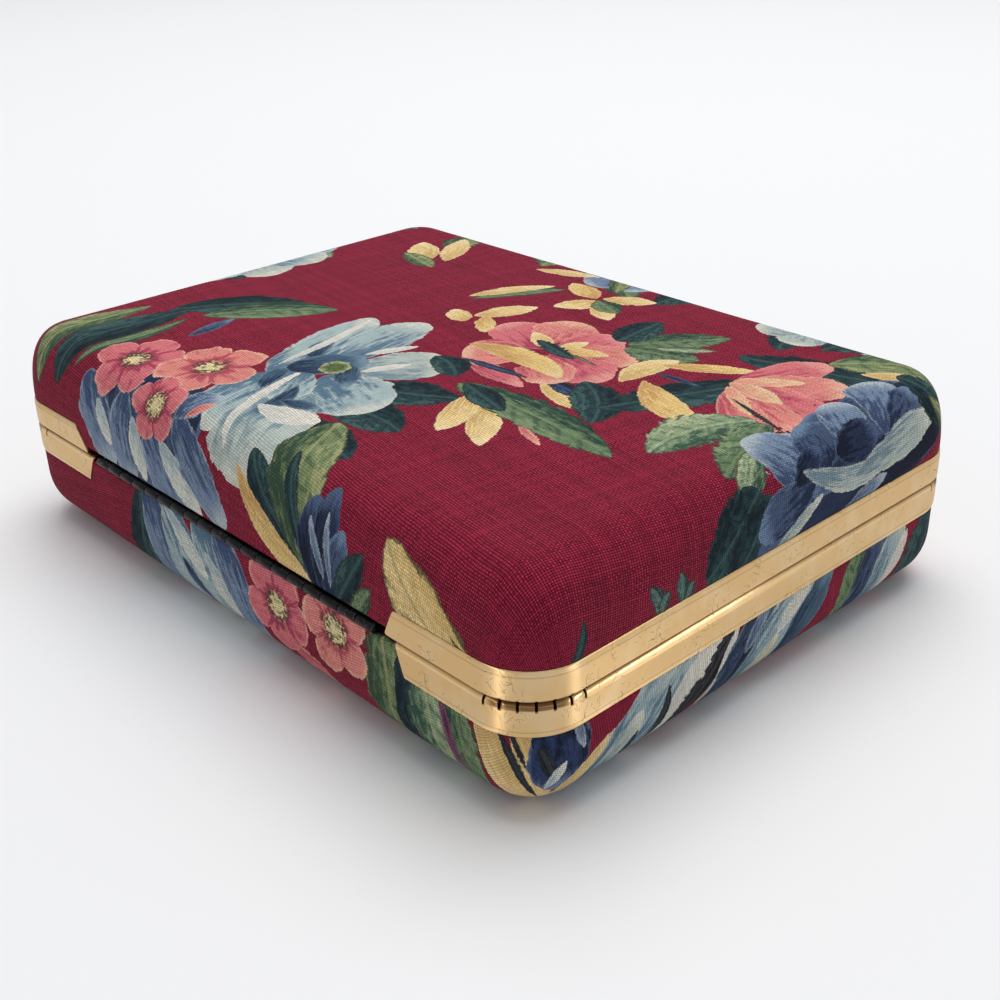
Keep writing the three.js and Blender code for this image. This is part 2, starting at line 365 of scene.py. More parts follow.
# Inks of the print: body, shade and edge or highlight, and a heart where blossoms have that ink.
inks = {
    "paleBlue": ((172, 190, 190), (92, 120, 142), (218, 218, 204)),
    "paleGrey": ((186, 196, 188), (124, 146, 156), (222, 220, 204)),
    "white": ((214, 216, 204), (160, 178, 184), (232, 226, 212)),
    "slate": ((126, 144, 168), (64, 82, 116), (190, 198, 202)),
    "slateDark": ((76, 93, 122), (36, 48, 76), (124, 146, 176)),
    "navy": ((42, 54, 84), (22, 28, 48), (92, 110, 144)),
    "navyBlue": ((52, 66, 104), (24, 30, 52), (126, 142, 172)),
    "ink": ((38, 34, 42), (22, 20, 26), (86, 90, 96)),
    "teal": ((40, 66, 70), (20, 36, 44), (82, 112, 108)),
    "tealLight": ((74, 104, 100), (34, 58, 64), (132, 154, 136)),
    "green": ((104, 128, 94), (42, 68, 60), (150, 166, 122)),
    "olive": ((122, 138, 96), (56, 80, 62), (192, 188, 134), (96, 116, 60)),
    "paleGreen": ((140, 160, 124), (58, 90, 74), (206, 208, 168)),
    "cream": ((240, 210, 150), (214, 178, 116), (246, 224, 180)),
    "creamLined": ((244, 212, 150), (222, 188, 122), (104, 120, 80)),
    "creamPale": ((214, 206, 172), (150, 164, 150), (230, 222, 190)),
    "yellow": ((234, 200, 130), (206, 160, 100), (238, 212, 158), (120, 100, 60)),
    "deepBlue": ((72, 98, 120), (38, 54, 80), (128, 154, 170)),
    "petalWhite": ((226, 220, 208), (206, 206, 200), (236, 226, 212)),
    "creamSoft": ((232, 190, 152), (226, 150, 132), (238, 210, 160)),
    "pink": ((218, 118, 124), (176, 66, 92), (236, 166, 154), (230, 212, 160)),
    "salmon": ((226, 140, 130), (190, 84, 98), (238, 190, 160), (232, 214, 160)),
    "mauve": ((120, 72, 104), (76, 34, 66), (170, 112, 132)),
}

# The floral print, a table for each face, from the lowest motif to the topmost. A leaf's line gives its
# base and tip, width, bend, swell, fullness, style and ink; a blossom's gives its middle, the end of one
# petal, petals, notch, heart and ink. Places are in mm on the face's own chart: "top" is seen from above;
# a side runs from its middle towards the next side, and down from the lid's top or the parting line.
lidPrint = {
    "top": """
# dark foliage under the flowers
-4 34 -25 22 13 0 1 0.6 1.5 teal
-8 42 -28 40 13 0.1 1 0.6 1.5 teal
-8 50 -30 54 13 0 0.9 0.6 1.5 teal
-4 58 -31 63 14 0 0.9 0.6 1.5 teal
68 33 46 8 12 0.06 1 0.7 1 teal
64 29 67 70 12 0 1 0.7 1 teal
74 34 76 72 9 0 1 0.7 1 olive
59 33 61 64 5 0.1 1 0.7 1 green
48 40 50 26 4 0 1 0.7 0 slateDark
58 30 36 6 12 0.06 1 0.7 1 green
# the large pale anemone
16 40 25 4 15 -0.05 1 0.5 0 paleBlue
8 27 13 -2 14 0.05 1.3 0.5 0 paleBlue
5 28 -10 11 16 0 1.3 0.5 0 paleGrey
5 33 -17 38 19 0 1.3 0.5 0 paleBlue
12 36 7 63 19 0 1.1 0.5 0 paleBlue
1 40 -9 70 23 0 1.4 0.5 0 paleGrey
9 34 2 48 10 0 1.2 0.6 0 paleBlue
5 40 1 56 5 0.1 1 0.7 0 deepBlue
10 46 15 34 5 0.1 1 0.7 0 deepBlue
14 30 21 18 5 0.1 1 0.7 0 deepBlue
-1 65 11 33 2.6 0.05 1 0.6 0 petalWhite
18 36 25 4 2.6 -0.03 1 0.6 0 petalWhite
4 51 -13 48 7 -0.06 1.3 0.6 0 petalWhite
2 47 -8 44 4 0 1 0.7 0 deepBlue
8 20 3 9 3 0 1 0.6 0 petalWhite
1 27 -4 17 3 0 1 0.6 0 petalWhite
15 36 4 22 11 0 1 0.5 0 deepBlue
6 26 -3 34 6 0 1 0.6 0 deepBlue
7 29 9.5 26.5 7 0.12 0.4 olive
# pink blossoms beside it
45 55 55 61 5 0.34 0.22 pink
28 47 25 35 5 0.34 0.22 salmon
26 63 33 68 5 0.34 0.3 pink
# toothed leaf under the hibiscus, with cream sepals
-25 18 -33 35 8 0.05 1 0.8 0 cream
-31 20 -44 34 7 0 1 0.8 0 cream
-42 22 -52 26 2.4 0 1 0.8 0 salmon
-19 17 -65 20 13 0.03 0.9 0.65 1.6 green
-20 16 -36 20 7 0 1 0.7 1 teal
-28 26 -29 31 1.2 0 1 0.7 1 olive
-36 25 -39 30 1.2 0 1 0.7 1 olive
# hibiscus
-8 6 -30 9 6 0 1 0.6 0 pink
-31 5 -50 7 5 -0.08 1 0.7 0 cream
-31 3 -44 4 5 0 1 0.7 1 navy
-18 -9 0 -15 15 0 1.4 0.5 0 pink
-18 -9 -11 -27 15 0 1.4 0.5 0 salmon
-20 -10 -26 -26 13 0 1.4 0.5 0 pink
-21 -10 -37 -19 14 0 1.4 0.5 0 salmon
-21 -8 -40 -5 14 0 1.4 0.5 0 pink
-20 -6 -33 4 13 0 1.4 0.5 0 salmon
-18 -5 -6 4 16 0 1.4 0.5 0 salmon
-4 0 -32 0 7.5 0.1 1.1 0.5 0 yellow
-19 -11 -31 -16 5 0 1 0.7 0 yellow
-19 -10 -9 -15 5 0 1 0.7 0 cream
-20 -10 -22 -19 4 0 1 0.7 0 cream
-24 -11 -33 -10 1.4 0 1 0.7 1 olive
-24 -12 -31 -17 1.4 0 1 0.7 1 olive
-13 -12 -27 -9 5 0 1 0.6 2 teal
-9 7 -27 5 2.6 0 1 0.6 1 navy
# small leaves and buds round it
-10 -22 -5 -43 1.2 0.1 1 0.5 1 teal
-4 10 -16 15 9 0.1 1 0.7 1 teal
8 -9 16 -13 6 0 1 0.6 0 cream
9 -13 3 -28 7 0 1 0.7 0 cream
7 -15 -1 -7 5 0 1 0.7 0 yellow
9 -13 5 -20 1.4 0 1 0.7 1 olive
19 -21 8 -43 6 0.06 1 0.7 1 green
21 -22 12 -43 5 0.04 1 0.7 0 cream
26 -50 10 -57 5 0 1 0.7 0 cream
-5 -42 1 -31 7 0 1 0.7 0 cream
-3 -44 -14 -51 7 0 1 0.7 0 cream
-2 -43 11 -48 7 0 1 0.7 0 yellow
-5 -40 -15 -33 6 0 1 0.7 0 cream
-3 -42 -13 -38 8 0 1 0.7 1.5 green
-2 -50 8 -64 6 0 1 0.7 1 olive
-30 -22 -46 -28 13 0 0.9 0.7 1.6 green
-29 -24 -42 -44 12 0 0.9 0.7 1.6 green
-26 -24 -24 -41 11 0 0.9 0.7 1.6 teal
-34 -26 -45 -35 4 0 1 0.7 1 paleGreen
# ribbons and leaves towards the lily
-37 -2 -52 12 12 0.1 1 0.6 1.5 teal
-48 6 -62 -27 13 0 1 0.6 1.5 teal
-50 -36 -84 -46 14 0 1 0.6 1.5 teal
-42 -7 -43 -25 7 0.1 1 0.7 0 cream
-42 -20 -59 -32 5 0 0.9 0.7 0 yellow
-45 -11 -65 -2 9 -0.06 1.3 0.6 0 yellow
-44 -16 -55 -17 2 0 1 0.7 0 navy
# lily
-59 -23 -67 -46 11 0 1.3 0.5 0 pink
-59 -23 -78 -37 14 0 1.3 0.5 0 salmon
-59 -22 -84 -22 14 0 1.3 0.5 0 pink
-60 -21 -83 -12 12 0 1.3 0.5 0 salmon
-60 -20 -78 -4 10 0 1.3 0.5 0 salmon
-58 -24 -69 -34 5 0 0.9 0.7 0 creamSoft
-58 -23 -72 -22 6 0 0.9 0.7 0 creamSoft
-59 -21 -71 -13 4 0 0.9 0.7 0 creamSoft
-59 -24 -70 -41 1.2 0 1 0.7 1 ink
-62 -22 -80 -27 1.2 0 1 0.7 1 ink
-63 -17 -81 -11 1.4 0 1 0.7 1 ink
# the pale toothed leaf below it
-73 -12 -68 14 14 -0.12 0.9 0.6 1.7 paleGreen
-75 -12 -83 10 12 0 0.9 0.6 1.7 green
-80 -2 -89 9 7 0 1.2 0.6 1 paleGreen
# the far side
95 -8 102 14 13 0 1.2 0.55 0 paleGrey
95 -8 104 -30 13 0 1.2 0.55 0 paleBlue
95 -8 82 14 16 0 1.2 0.5 0 paleBlue
95 -8 72 1 17 0 1.2 0.5 0 paleGrey
95 -8 73 -17 17 0 1.2 0.5 0 paleBlue
95 -8 86 -34 16 0 1.2 0.5 0 paleGrey
95 -8 99 -8 7 0.12 0.4 olive
52 -34 66 -46 9 0 1 0.7 0 cream
48 -38 60 -56 7 0 1 0.7 0 cream
46 -32 62 -36 7 0 1 0.7 1 olive
-66 -46 -92 -62 16 0.1 1 0.7 1.6 olive
-74 -46 -94 -58 6 0 1 0.7 0 cream
-60 -52 -74 -74 14 0.1 1 0.7 1.5 teal
""",
    "back": """
-34 -2 -24 36 40 0 0.9 0.5 0 slateDark
-54 9 -43 29 14 0 1.1 0.5 0 slate
-38 9 -36 31 12 0 1.2 0.5 0 slate
-48 14 -43 24 5 0 1.1 0.6 0 white
-33 14 -29 28 6 0 1.1 0.6 0 white
-28 12 -14 34 13 0 1.2 0.5 0 slate
-22 16 -7 29 8 0 1.2 0.6 0 white
-18 9 2 28 11 0 1.1 0.5 0 slate
-15 11 -1 24 2.4 0 1.1 0.6 0 slateDark
-18 10 -12 0 8 0 1.1 0.7 0 slate
-15 9 -10 3 2.6 0 1.1 0.7 0 salmon
9 8 31 26 10 0.04 1 0.6 1 teal
16 -8 33 28 16 0 0.9 0.6 1.3 olive
20 4 31 26 4 0 0.9 0.6 1 teal
6 12 32 29 6.5 0.09 1.1 0.7 0 yellow
34 30 32 10 11 0 0.9 0.5 0 navy
35 30 36 7 8 0 0.9 0.5 0 navy
36 30 41 14 7 0 0.9 0.5 0 slateDark
35 26 31 14 2.4 0 1 0.6 0 slate
37 27 36 12 2 0 1 0.6 0 slate
38 30 47 16 7 0 1 0.7 1.4 teal
42 32 49 22 5 0 1 0.7 1.4 green
82 35 52 11 14 -0.05 1.1 0.65 1 creamLined
84 36 70 22 2.2 0 1 0.7 1 green
""",
    "left": """
-57 27 -52 17 2.4 0.1 1.2 0.6 1 teal
-33 25.5 -36 17.5 3.6 0.1 1 0.6 1 tealLight
-33 25 -31 20 3.2 -0.1 1 0.6 1 tealLight
-27 25 -28 17.5 3.4 0 1 0.7 1 tealLight
-27 25 -24.5 20.5 2.8 0 1 0.7 1 tealLight
-4 11 -21 23 13 0 0.9 0.5 1.5 teal
-1 13 -15 29 12 0 1 0.5 1.5 teal
58 14 -6 25 18 0 1 0.35 0 navy
52 8 4 12 18 0 1 0.4 0 slateDark
12 16 2 0 13 0 1.2 0.5 0 slate
12 15 -6 20 10 0 1.2 0.5 0 slateDark
17 14 15 3 12 0 1.3 0.5 0 slateDark
24 14 29 1 12 0 1.4 0.5 0 slate
36 13 43 0 14 0 1.4 0.5 0 slate
38 15 51 8 12 0 1.2 0.5 0 slateDark
20 12 34 11 9 0 1 0.5 0 navy
6 14 16 9 6 0 1 0.6 0 navy
9 12 42 16 5.5 0.12 1 0.55 0 paleGrey
24 18 54 13 8 0.02 1.3 0.6 0 paleGrey
-3 26 14 18 3 0 1.1 0.6 0 paleGrey
18 26 36 21 4 0 1.1 0.6 0 slate
50 3 62 20 10 0 1 0.6 1.5 teal
54 10 64 24 5 0 1 0.6 1 olive
""",
}
basePrint = {
    "back": """
-33 1 -36 30 12 0 1 0.6 1.5 teal
-30 -2 -20 28 14 0 1.1 0.5 0 slate
-22 -2 -10 28 15 0 1.1 0.5 0 paleBlue
-10 -2 0 28 14 0 1.1 0.5 0 paleBlue
-3 -2 10 26 12 0 1.1 0.5 0 slate
-23 1 -8 14 5.5 0 1.1 0.6 0 white
-8 7 2 20 5 0 1.1 0.6 0 white
-18 12 -8 22 4 0 1.1 0.6 0 slateDark
18 9 28 13 5 0.34 0.26 pink
37 6 46 11 5 0.34 0.28 salmon
22 16 34 24 8 0 1 0.7 0 salmon
51 -3 54 32 13 0 0.9 0.5 1.6 olive
58 0 62 32 12 0 1 0.5 1 teal
62 4 68 30 13 0 0.8 0.5 1.6 paleGreen
70 2 75 28 9 0 1 0.6 1.4 green
66 4 72 24 2.6 0 1 0.7 0 mauve
76 3 88 30 7 0 0.9 0.5 0 cream
84 3 90 26 5.5 0 0.9 0.5 0 cream
80 4 88 23 1.8 0 1 0.6 1 ink
82 3 86 14 1.2 0 1 0.6 1 ink
88 4 92 22 1.6 0 1 0.6 1 olive
""",
    "left": """
-57 3 -57 20 13 0 1 0.4 0 navyBlue
-61 9 -58 17 3 0 1 0.6 1.5 ink
-54 5 -52 12 2.4 0 1 0.6 0 slate
-60 19 -56 13 2.4 0 1 0.6 0 white
-60 24 -43 12 5 0 1 0.7 0 cream
-54 30 -26 3 15 0.03 1 0.5 0 paleBlue
-50 27 -37 12 7 0 1 0.6 0 paleGrey
-44 30 -18 3 11 0 1 0.5 0 paleBlue
-38 27 -14 3 7 0 1 0.5 0 petalWhite
-36 23 -30 10 3 0.1 1 0.6 1.5 ink
-42 24 -38 16 2.4 0 1 0.6 1.5 ink
-31 26 -21 13 5 0 1 0.5 2 ink
-24 20 -9 4 6 0 1 0.5 2 ink
-23 26 -6 8 5 0 1 0.6 0 creamPale
-18 20 -10 6 2.6 0 1 0.6 0 petalWhite
-18 28 4 2 14 0 1 0.5 0 deepBlue
-14 20 -3 6 5 0 1 0.5 1.5 navy
-8 14 0 4 3.4 0 1 0.6 0 slate
-12 26 14 3 11 0 1.1 0.5 0 paleBlue
-9 23 3 13 3.4 0.1 1 0.6 0 creamPale
2 14 14 4 4 0 1 0.6 0 petalWhite
2 24 20 5 8 0 1 0.5 0 deepBlue
24 26 30 3 9 0 1 0.6 1.4 green
28 28 40 3 13 0 1 0.5 0 slateDark
33 26 45 4 9 0 1.1 0.5 0 paleBlue
38 24 47 8 4 0 1.1 0.6 0 petalWhite
47 28 60 4 14 0 1 0.6 1.5 teal
""",
}


# Rows of motifs: (kind, face, ink, base and tip, then the form).
def readPrint(tables):
    rows = []
    for face, table in tables.items():
        for line in table.strip().splitlines():
            if not line.startswith("#"):
                *numbers, ink = line.split()
                kind = "leaf" if len(numbers) == 9 else "blossom"
                rows.append((kind, face, ink, *(float(number) for number in numbers)))
    return rows


# Bunches of the same flowers and leaves for the faces that the photograph hides.
scatter = {"step": 26.0, "sway": 4, "leafLength": 17, "petalLength": 12, "floorStep": 30, "floorBand": (6, 20)}


def ray(face, ink, x, y, turn, length, *form):
    return ("leaf", face, ink, x, y, x + length * math.cos(turn), y + length * math.sin(turn), *form)


def scatterPrint(face, width, low, high, seed):
    chance = random.Random(seed)
    rows = []
    for index in range(int(2 * width / scatter["step"])):
        x = -width + scatter["step"] * (index + 0.5) + chance.uniform(-scatter["sway"], scatter["sway"])
        y = chance.uniform(low, high)
        start = chance.uniform(0, 6.28)
        bunch = chance.choice(("bloom", "blossom", "leaves", "bloom"))
        flower = chance.choice(("paleBlue", "salmon", "slate", "paleGrey"))
        for k in range(3):
            turn = start + 2.1 * k + chance.uniform(-0.3, 0.3)
            ink = chance.choice(("green", "teal", "paleGreen", "olive"))
            rows.append(ray(face, ink, x, y, turn, scatter["leafLength"], 11, 0.08, 1, 0.8, 2))
        if bunch == "bloom":
            for k in range(5):
                rows.append(ray(face, flower, x, y, start + 1.2566 * k, scatter["petalLength"], 12, 0, 1.3, 0.55, 0))
            rows.append(("blossom", face, "yellow", x, y, x + 3, y, 8, 0.2, 0.3))
        elif bunch == "blossom":
            rows.append(("blossom", face, "pink", x - 5, y, x + 3, y + 2, 5, 0.34, 0.24))
            rows.append(("blossom", face, "salmon", x + 8, y + 3, x + 15, y, 5, 0.34, 0.24))
        else:
            rows.append(("leaf", face, "cream", x, y, x + 14, y + 6, 7, 0.1, 1, 0.8, 0))
    return rows


def scatterFloor(halfX, halfY, seed):
    low, high = scatter["floorBand"]
    rows = []
    for index, y in enumerate(range(int(-halfY), int(halfY), scatter["floorStep"])):
        rows += scatterPrint("top", halfX, y + low, y + high, seed + index)
    return rows


# The stations round a rounded rectangle: a point on its inner rectangle, the way out, the distance
# round from the middle of the back towards the left side, and the vertex of the flat grid.
def perimeter():
    innerX, innerY = straightEnds
    cellsX, cellsY = case["sideCells"]
    xs = np.linspace(-innerX, innerX, cellsX + 1)
    ys = np.linspace(-innerY, innerY, cellsY + 1)
    stations = []
    goneRound = innerX

    def grid(ix, iy):
        return iy * (cellsX + 1) + ix

    sides = [
        ((0, cellsY), [(0, cellsY - k) for k in range(1, cellsY)], 90),
        ((0, 0), [(k, 0) for k in range(1, cellsX)], 180),
        ((cellsX, 0), [(cellsX, k) for k in range(1, cellsY)], 270),
        ((cellsX, cellsY), [(cellsX - k, cellsY) for k in range(1, cellsX)], 0),
    ]
    for (cx, cy), run, angle in sides:
        for k in range(case["cornerCells"] + 1):
            turn = math.radians(angle + 90 * k / case["cornerCells"])
            stations.append((xs[cx], ys[cy], math.cos(turn), math.sin(turn),
                             goneRound + cornerArc * k / case["cornerCells"], grid(cx, cy)))
        goneRound += cornerArc
        turn = math.radians(angle + 90)
        corner = (xs[cx], ys[cy])
        for ix, iy in run:
            gone = abs(xs[ix] - corner[0]) + abs(ys[iy] - corner[1])
            stations.append((xs[ix], ys[iy], math.cos(turn), math.sin(turn), goneRound + gone, grid(ix, iy)))
        goneRound += 2 * (innerY if len(run) < cellsX - 1 else innerX)
    return xs, ys, np.array(stations)


# Rows of a rounded edge from the far face to the side: inset, distance from the far face, and
# distance along the cloth, evenly spaced along the cloth.
def edgeProfile(edge, count):
    turn = np.linspace(0, math.pi / 2, 400)
    up, out = np.sin(turn) ** edge["fullness"], np.maximum(np.cos(turn), 0) ** edge["fullness"]
    inset = case["cloth"] + edge["inset"] * (1 - up)
    drop = edge["rise"] * (1 - out)
    gone = np.concatenate([[0], np.cumsum(np.hypot(np.diff(inset), np.diff(drop)))])
    even = np.linspace(0, gone[-1], count)
    return np.interp(even, gone, inset), np.interp(even, gone, drop), even


# How far round each side's middle is from the middle of the back.
halfRound = straightEnds[0] + cornerArc + straightEnds[1]
sideMiddles = {"back": 0.0, "left": halfRound, "front": 2 * halfRound, "right": 3 * halfRound}


def sideAcross(face, p):
    total = 4 * halfRound
    return (p - sideMiddles[face] + total / 2) % total - total / 2


# Rows of the cloth in mm: above and below the band's edge with their share of the valley's depth there,
# and round the rim in degrees.
clothRows = {
    "valley": ((1.05, 0.02), (0.7, 0.08), (0.42, 0.22), (0.2, 0.5), (0.05, 0.9), (-0.1, 1.3)),
    "side": 5,
    "sideEnd": 1.5,
    "underBand": 6,
    "rim": (22, 45, 68, 90),
    "inside": 9,
    "bandSide": 0.8,
    "waves": ((0.071, 0.11, 1.3, 1.0), (0.173, -0.19, 0.0, 0.6), (0.37, 0.23, 2.0, 0.3)),
    "waveFade": 4.0,
}


# One covered shell as a dense mesh, with its charts for the print.
def shellMesh(name, form):
    side = 1 if name == "lid" else -1
    xs, ys, stations = perimeter()
    cx, cy, nx, ny, p, gridIndex = stations.T
    halfX, halfY = straightEnds
    farZ = case["height"] - form["crown"] if side > 0 else 0.0
    seam = case["frameGap"] / 2 + bandHeights[name]
    ends = bandEnds[name]
    px = cx + nx * (case["corner"] - case["cloth"])
    isOpen = ((ny > 0.999) & (px > -(ends["left"]["outer"] + clothRows["bandSide"]))
              & (px < ends["right"]["outer"] + clothRows["bandSide"]))
    # vertices as x, y, z, the flat chart, around, down and whether a band hides them; first the flat grid
    blocks = []

    def addBlock(*columns):
        blocks.append(np.column_stack(np.broadcast_arrays(*columns)))

    gx, gy = [grid.ravel() for grid in np.meshgrid(xs, ys)]
    bulge = (1 - (gx / halfX) ** 2) * (1 - (gy / halfY) ** 2)
    addBlock(gx, gy, farZ + side * form["crown"] * bulge, gx, gy, np.nan, np.nan, 0.0)
    insets, drops, gone = edgeProfile(form, form["edgeRows"])
    sideFar = (farZ - case["parting"]) * side
    rows = [(np.full(len(p), i), sideFar - d, s) for i, d, s in zip(insets, drops, gone)]
    heightNow, goneNow = rows[-1][1], rows[-1][2]

    def addRow(height, closed, opened, moreGone):
        rows.append((np.where(isOpen, opened, closed), height, moreGone))

    if heightNow > seam + 1.6:
        for height in np.linspace(heightNow, seam + clothRows["sideEnd"], clothRows["side"])[1:]:
            addRow(height, case["cloth"], case["cloth"], goneNow + heightNow - height)
    rows = [row for row in rows if row[1] > seam + 1.35]
    lastHeight, lastGone = rows[-1][1], rows[-1][2]
    total = lastGone + lastHeight
    for above, sunk in clothRows["valley"]:
        addRow(seam + above, case["cloth"] + form["valley"] * sunk, case["cloth"], total - seam - above)
    for height in np.linspace(seam - 0.5, case["rim"] + 1.0, clothRows["underBand"]):
        addRow(height, case["underBand"], case["cloth"], total - height)
    roll = form["roll"]
    for turn in np.radians(clothRows["rim"]):
        height = case["rim"] + roll * (1 - math.sin(turn))
        inset = roll * (1 - math.cos(turn))
        addRow(height, case["underBand"] + inset * 0.3, case["cloth"] + inset, total - height)
    lastVisible = len(rows)
    inner = case["cloth"] + case["wall"]
    addRow(case["rim"], inner - 0.4, inner - 0.4, total)
    addRow(case["rim"] + 0.4, inner, inner, total)
    innerEdge = {"inset": form["inset"] - case["wall"], "rise": form["rise"] - case["wall"],
                 "fullness": form["fullness"]}
    innerInsets, innerDrops, _ = edgeProfile(innerEdge, clothRows["inside"])
    for i, d in list(zip(innerInsets, innerDrops))[::-1]:
        height = sideFar - case["wall"] - d
        if height > case["rim"] + 0.6:
            addRow(height, i + case["wall"], i + case["wall"], total)
    for index, (inset, height, s) in enumerate(rows):
        x = cx + nx * (case["corner"] - inset)
        y = cy + ny * (case["corner"] - inset)
        if index < lastVisible:
            near = np.clip((height - seam) / clothRows["waveFade"], 0, 1)
            wave = sum(np.sin(p * fast + s * slant + start) * share for fast, slant, start, share in clothRows["waves"])
            x, y = x - nx * form["softness"] * near * wave, y - ny * form["softness"] * near * wave
        # the base's chart counts from the parting line down and on along the cloth
        addBlock(x, y, case["parting"] + side * height, cx + nx * (0.5 + s), cy + ny * (0.5 + s), p,
                 s if side > 0 else total - s, np.where(isOpen, 0.0, float(height < seam - 0.3)))
    addBlock(0, 0, case["parting"] + side * (sideFar - case["wall"]), 0, 0, np.nan, np.nan, 0)
    table = np.vstack(blocks)
    count, gridCount, centre = len(p), len(gx), len(table) - 1
    faces = []
    cellsX = len(xs) - 1
    for iy in range(len(ys) - 1):
        for ix in range(cellsX):
            a = iy * (cellsX + 1) + ix
            faces.append((a, a + 1, a + cellsX + 2, a + cellsX + 1))
    gridFaces = len(faces)
    index = gridIndex.astype(int)
    for i in range(count):
        j = (i + 1) % count
        a, b, c, d = index[i], index[j], gridCount + j, gridCount + i
        faces.append((a, d, c) if a == b else (a, d, c, b))
    for r in range(len(rows) - 1):
        start = gridCount + r * count
        for i in range(count):
            j = (i + 1) % count
            faces.append((start + i, start + count + i, start + count + j, start + j))
    outerFaces = gridFaces + count + (lastVisible - 1) * count
    last = gridCount + (len(rows) - 1) * count
    for i in range(count):
        faces.append((last + i, centre, last + (i + 1) % count))
    if side < 0:
        faces = [tuple(reversed(face)) for face in faces]
    mesh = bpy.data.meshes.new(name + "_cloth")
    mesh.from_pydata((table[:, :3] * mm).tolist(), [], faces)
    mesh.validate()
    mesh.shade_smooth()
    return mesh, table[:, 3:], outerFaces


# A face's own chart at each vertex: across and down.
def faceChart(face, chart, side):
    x, y, around, down, _ = chart.T
    if face == "top":
        return x, y
    edgeX, edgeY = straightEnds[0] + 0.5, straightEnds[1] + 0.5
    flatAcross = {"back": -x, "left": -y, "front": x, "right": y}[face]
    flatDown = {"back": y - edgeY, "left": -x - edgeX, "front": -y - edgeY, "right": x - edgeX}[face]
    if side < 0:
        flatDown = np.nanmax(down) - flatDown
    flat = np.isnan(around)
    across = np.where(flat, flatAcross, sideAcross(face, np.nan_to_num(around)))
    return across, np.where(flat, flatDown, down)


def readWhole(items, name):
    values = np.zeros(len(items), dtype=int)
    items.foreach_get(name, values)
    return values


def addVectors(mesh, name, values, domain):
    made = mesh.attributes.new(name, "FLOAT_VECTOR", domain)
    made.data.foreach_set("vector", np.ascontiguousarray(values, dtype=np.float32).ravel())


# How far past its own outline a motif is laid, so that no mesh face cuts it.
motifReach = {"leaf": 1.12, "margin": 0.9, "spread": 1.5, "widest": 1.15, "blossom": 1.08}


# Gives each mesh face its uppermost printed motifs, as places and colours for the material.
def layPrint(mesh, rows, chart, outerFaces, side):
    loops, starts, totals = [readWhole(*what) for what in (
        (mesh.loops, "vertex_index"), (mesh.polygons, "loop_start"), (mesh.polygons, "loop_total"))]
    loopFace = np.repeat(np.arange(len(totals)), totals)
    charts = {face: faceChart(face, chart, side) for face in ("top", *sideMiddles)}
    nowhere = (0.5, 9.0, 0.5)
    place = {kind: np.full((n, len(loops), 3), nowhere) for kind, n in motifSlots.items()}
    forms = {kind: np.zeros((n, len(totals), 3)) for kind, n in motifSlots.items()}
    colours = {kind: np.zeros((n, 4, len(totals), 3)) for kind, n in motifSlots.items()}
    used = {kind: np.zeros(len(totals), dtype=int) for kind in motifSlots}
    dropped = 0
    for number, (kind, face, ink, baseX, baseY, tipX, tipY, *form) in reversed(list(enumerate(rows))):
        x, y = charts[face]
        dx, dy = tipX - baseX, tipY - baseY
        length = math.hypot(dx, dy)
        ex, ey = dx / length, dy / length
        u = ((x - baseX) * ex + (y - baseY) * ey) / length
        size = form[0] / 2 if kind == "leaf" else length
        v = (-(x - baseX) * ey + (y - baseY) * ex) / size
        if kind == "leaf":
            v = v - form[1] * length / size * 4 * u * (1 - u)
        cu, cv = u[loops], v[loops]
        lowU, highU = np.minimum.reduceat(cu, starts), np.maximum.reduceat(cu, starts)
        lowV, highV = np.minimum.reduceat(cv, starts), np.maximum.reduceat(cv, starts)
        if kind == "leaf":
            middle = np.clip((lowU + highU) / 2, 0.001, 0.999)
            swell, full, _ = form[-3:]
            wide = np.maximum(np.sin(math.pi * middle ** swell), 0) ** full * motifReach["leaf"]
            wide = wide + motifReach["margin"] / size + (highU - lowU) * motifReach["spread"]
            wide = np.minimum(wide, motifReach["widest"])
            hit = (highU > 0) & (lowU < 1) & (highV > -wide) & (lowV < wide)
        else:
            hit = np.hypot(np.clip(0, lowU, highU), np.clip(0, lowV, highV)) < motifReach["blossom"]
        hit &= (highU - lowU < 1.5) & (highV - lowV < 3) & (np.arange(len(totals)) < outerFaces)
        crowded = hit & (used[kind] >= motifSlots[kind])
        dropped += int(crowded.sum())
        hit &= ~crowded
        ids = np.nonzero(hit)[0]
        if not len(ids):
            continue
        slot = used[kind][ids]
        used[kind][ids] += 1
        seed = (number * 7) % 89 + min(size, 90) / 100
        slotOfFace = np.full(len(totals), -1)
        slotOfFace[ids] = slot
        loopIds = np.nonzero(hit[loopFace])[0]
        place[kind][slotOfFace[loopFace[loopIds]], loopIds] = np.column_stack(
            [cu[loopIds], cv[loopIds], np.full(len(loopIds), seed)])
        forms[kind][slot, ids] = form[-3:]
        for k, colour in enumerate(inks[ink]):
            colours[kind][slot, k, ids] = paint(colour)[:3]
    for kind, n in motifSlots.items():
        for s in range(n):
            addVectors(mesh, f"{kind}Place{s}", place[kind][s], "CORNER")
            addVectors(mesh, f"{kind}Form{s}", forms[kind][s], "FACE")
            for k, part in enumerate(motifParts[kind]):
                addVectors(mesh, f"{kind}{part}{s}", colours[kind][s, k], "FACE")
    addVectors(mesh, "clothPlace", chart[:, [0, 1, 4]], "POINT")
    print("print laid:", len(rows), "motifs, most a face", int(used["leaf"].max()), "dropped", dropped)


cotton = {
    "threadColour": (168, 42, 72),
    "shadedGapColour": (92, 6, 28),
    "deepThread": (158, 42, 68),
    "thread": (0.47, 0.58, 0.148),
    "weaveBump": 0.6,
    "bumpHeight": 0.05,
    "roughness": 0.85,
    "sheen": 0.03,
    "gloss": 0.08,
    # how dark the painted shade is on the cloth hidden under the band
    "underBand": 0.12,
    "insideColour": (96, 22, 44),
    "insideRoughness": 0.9,
    "insideGloss": 0.2,
}


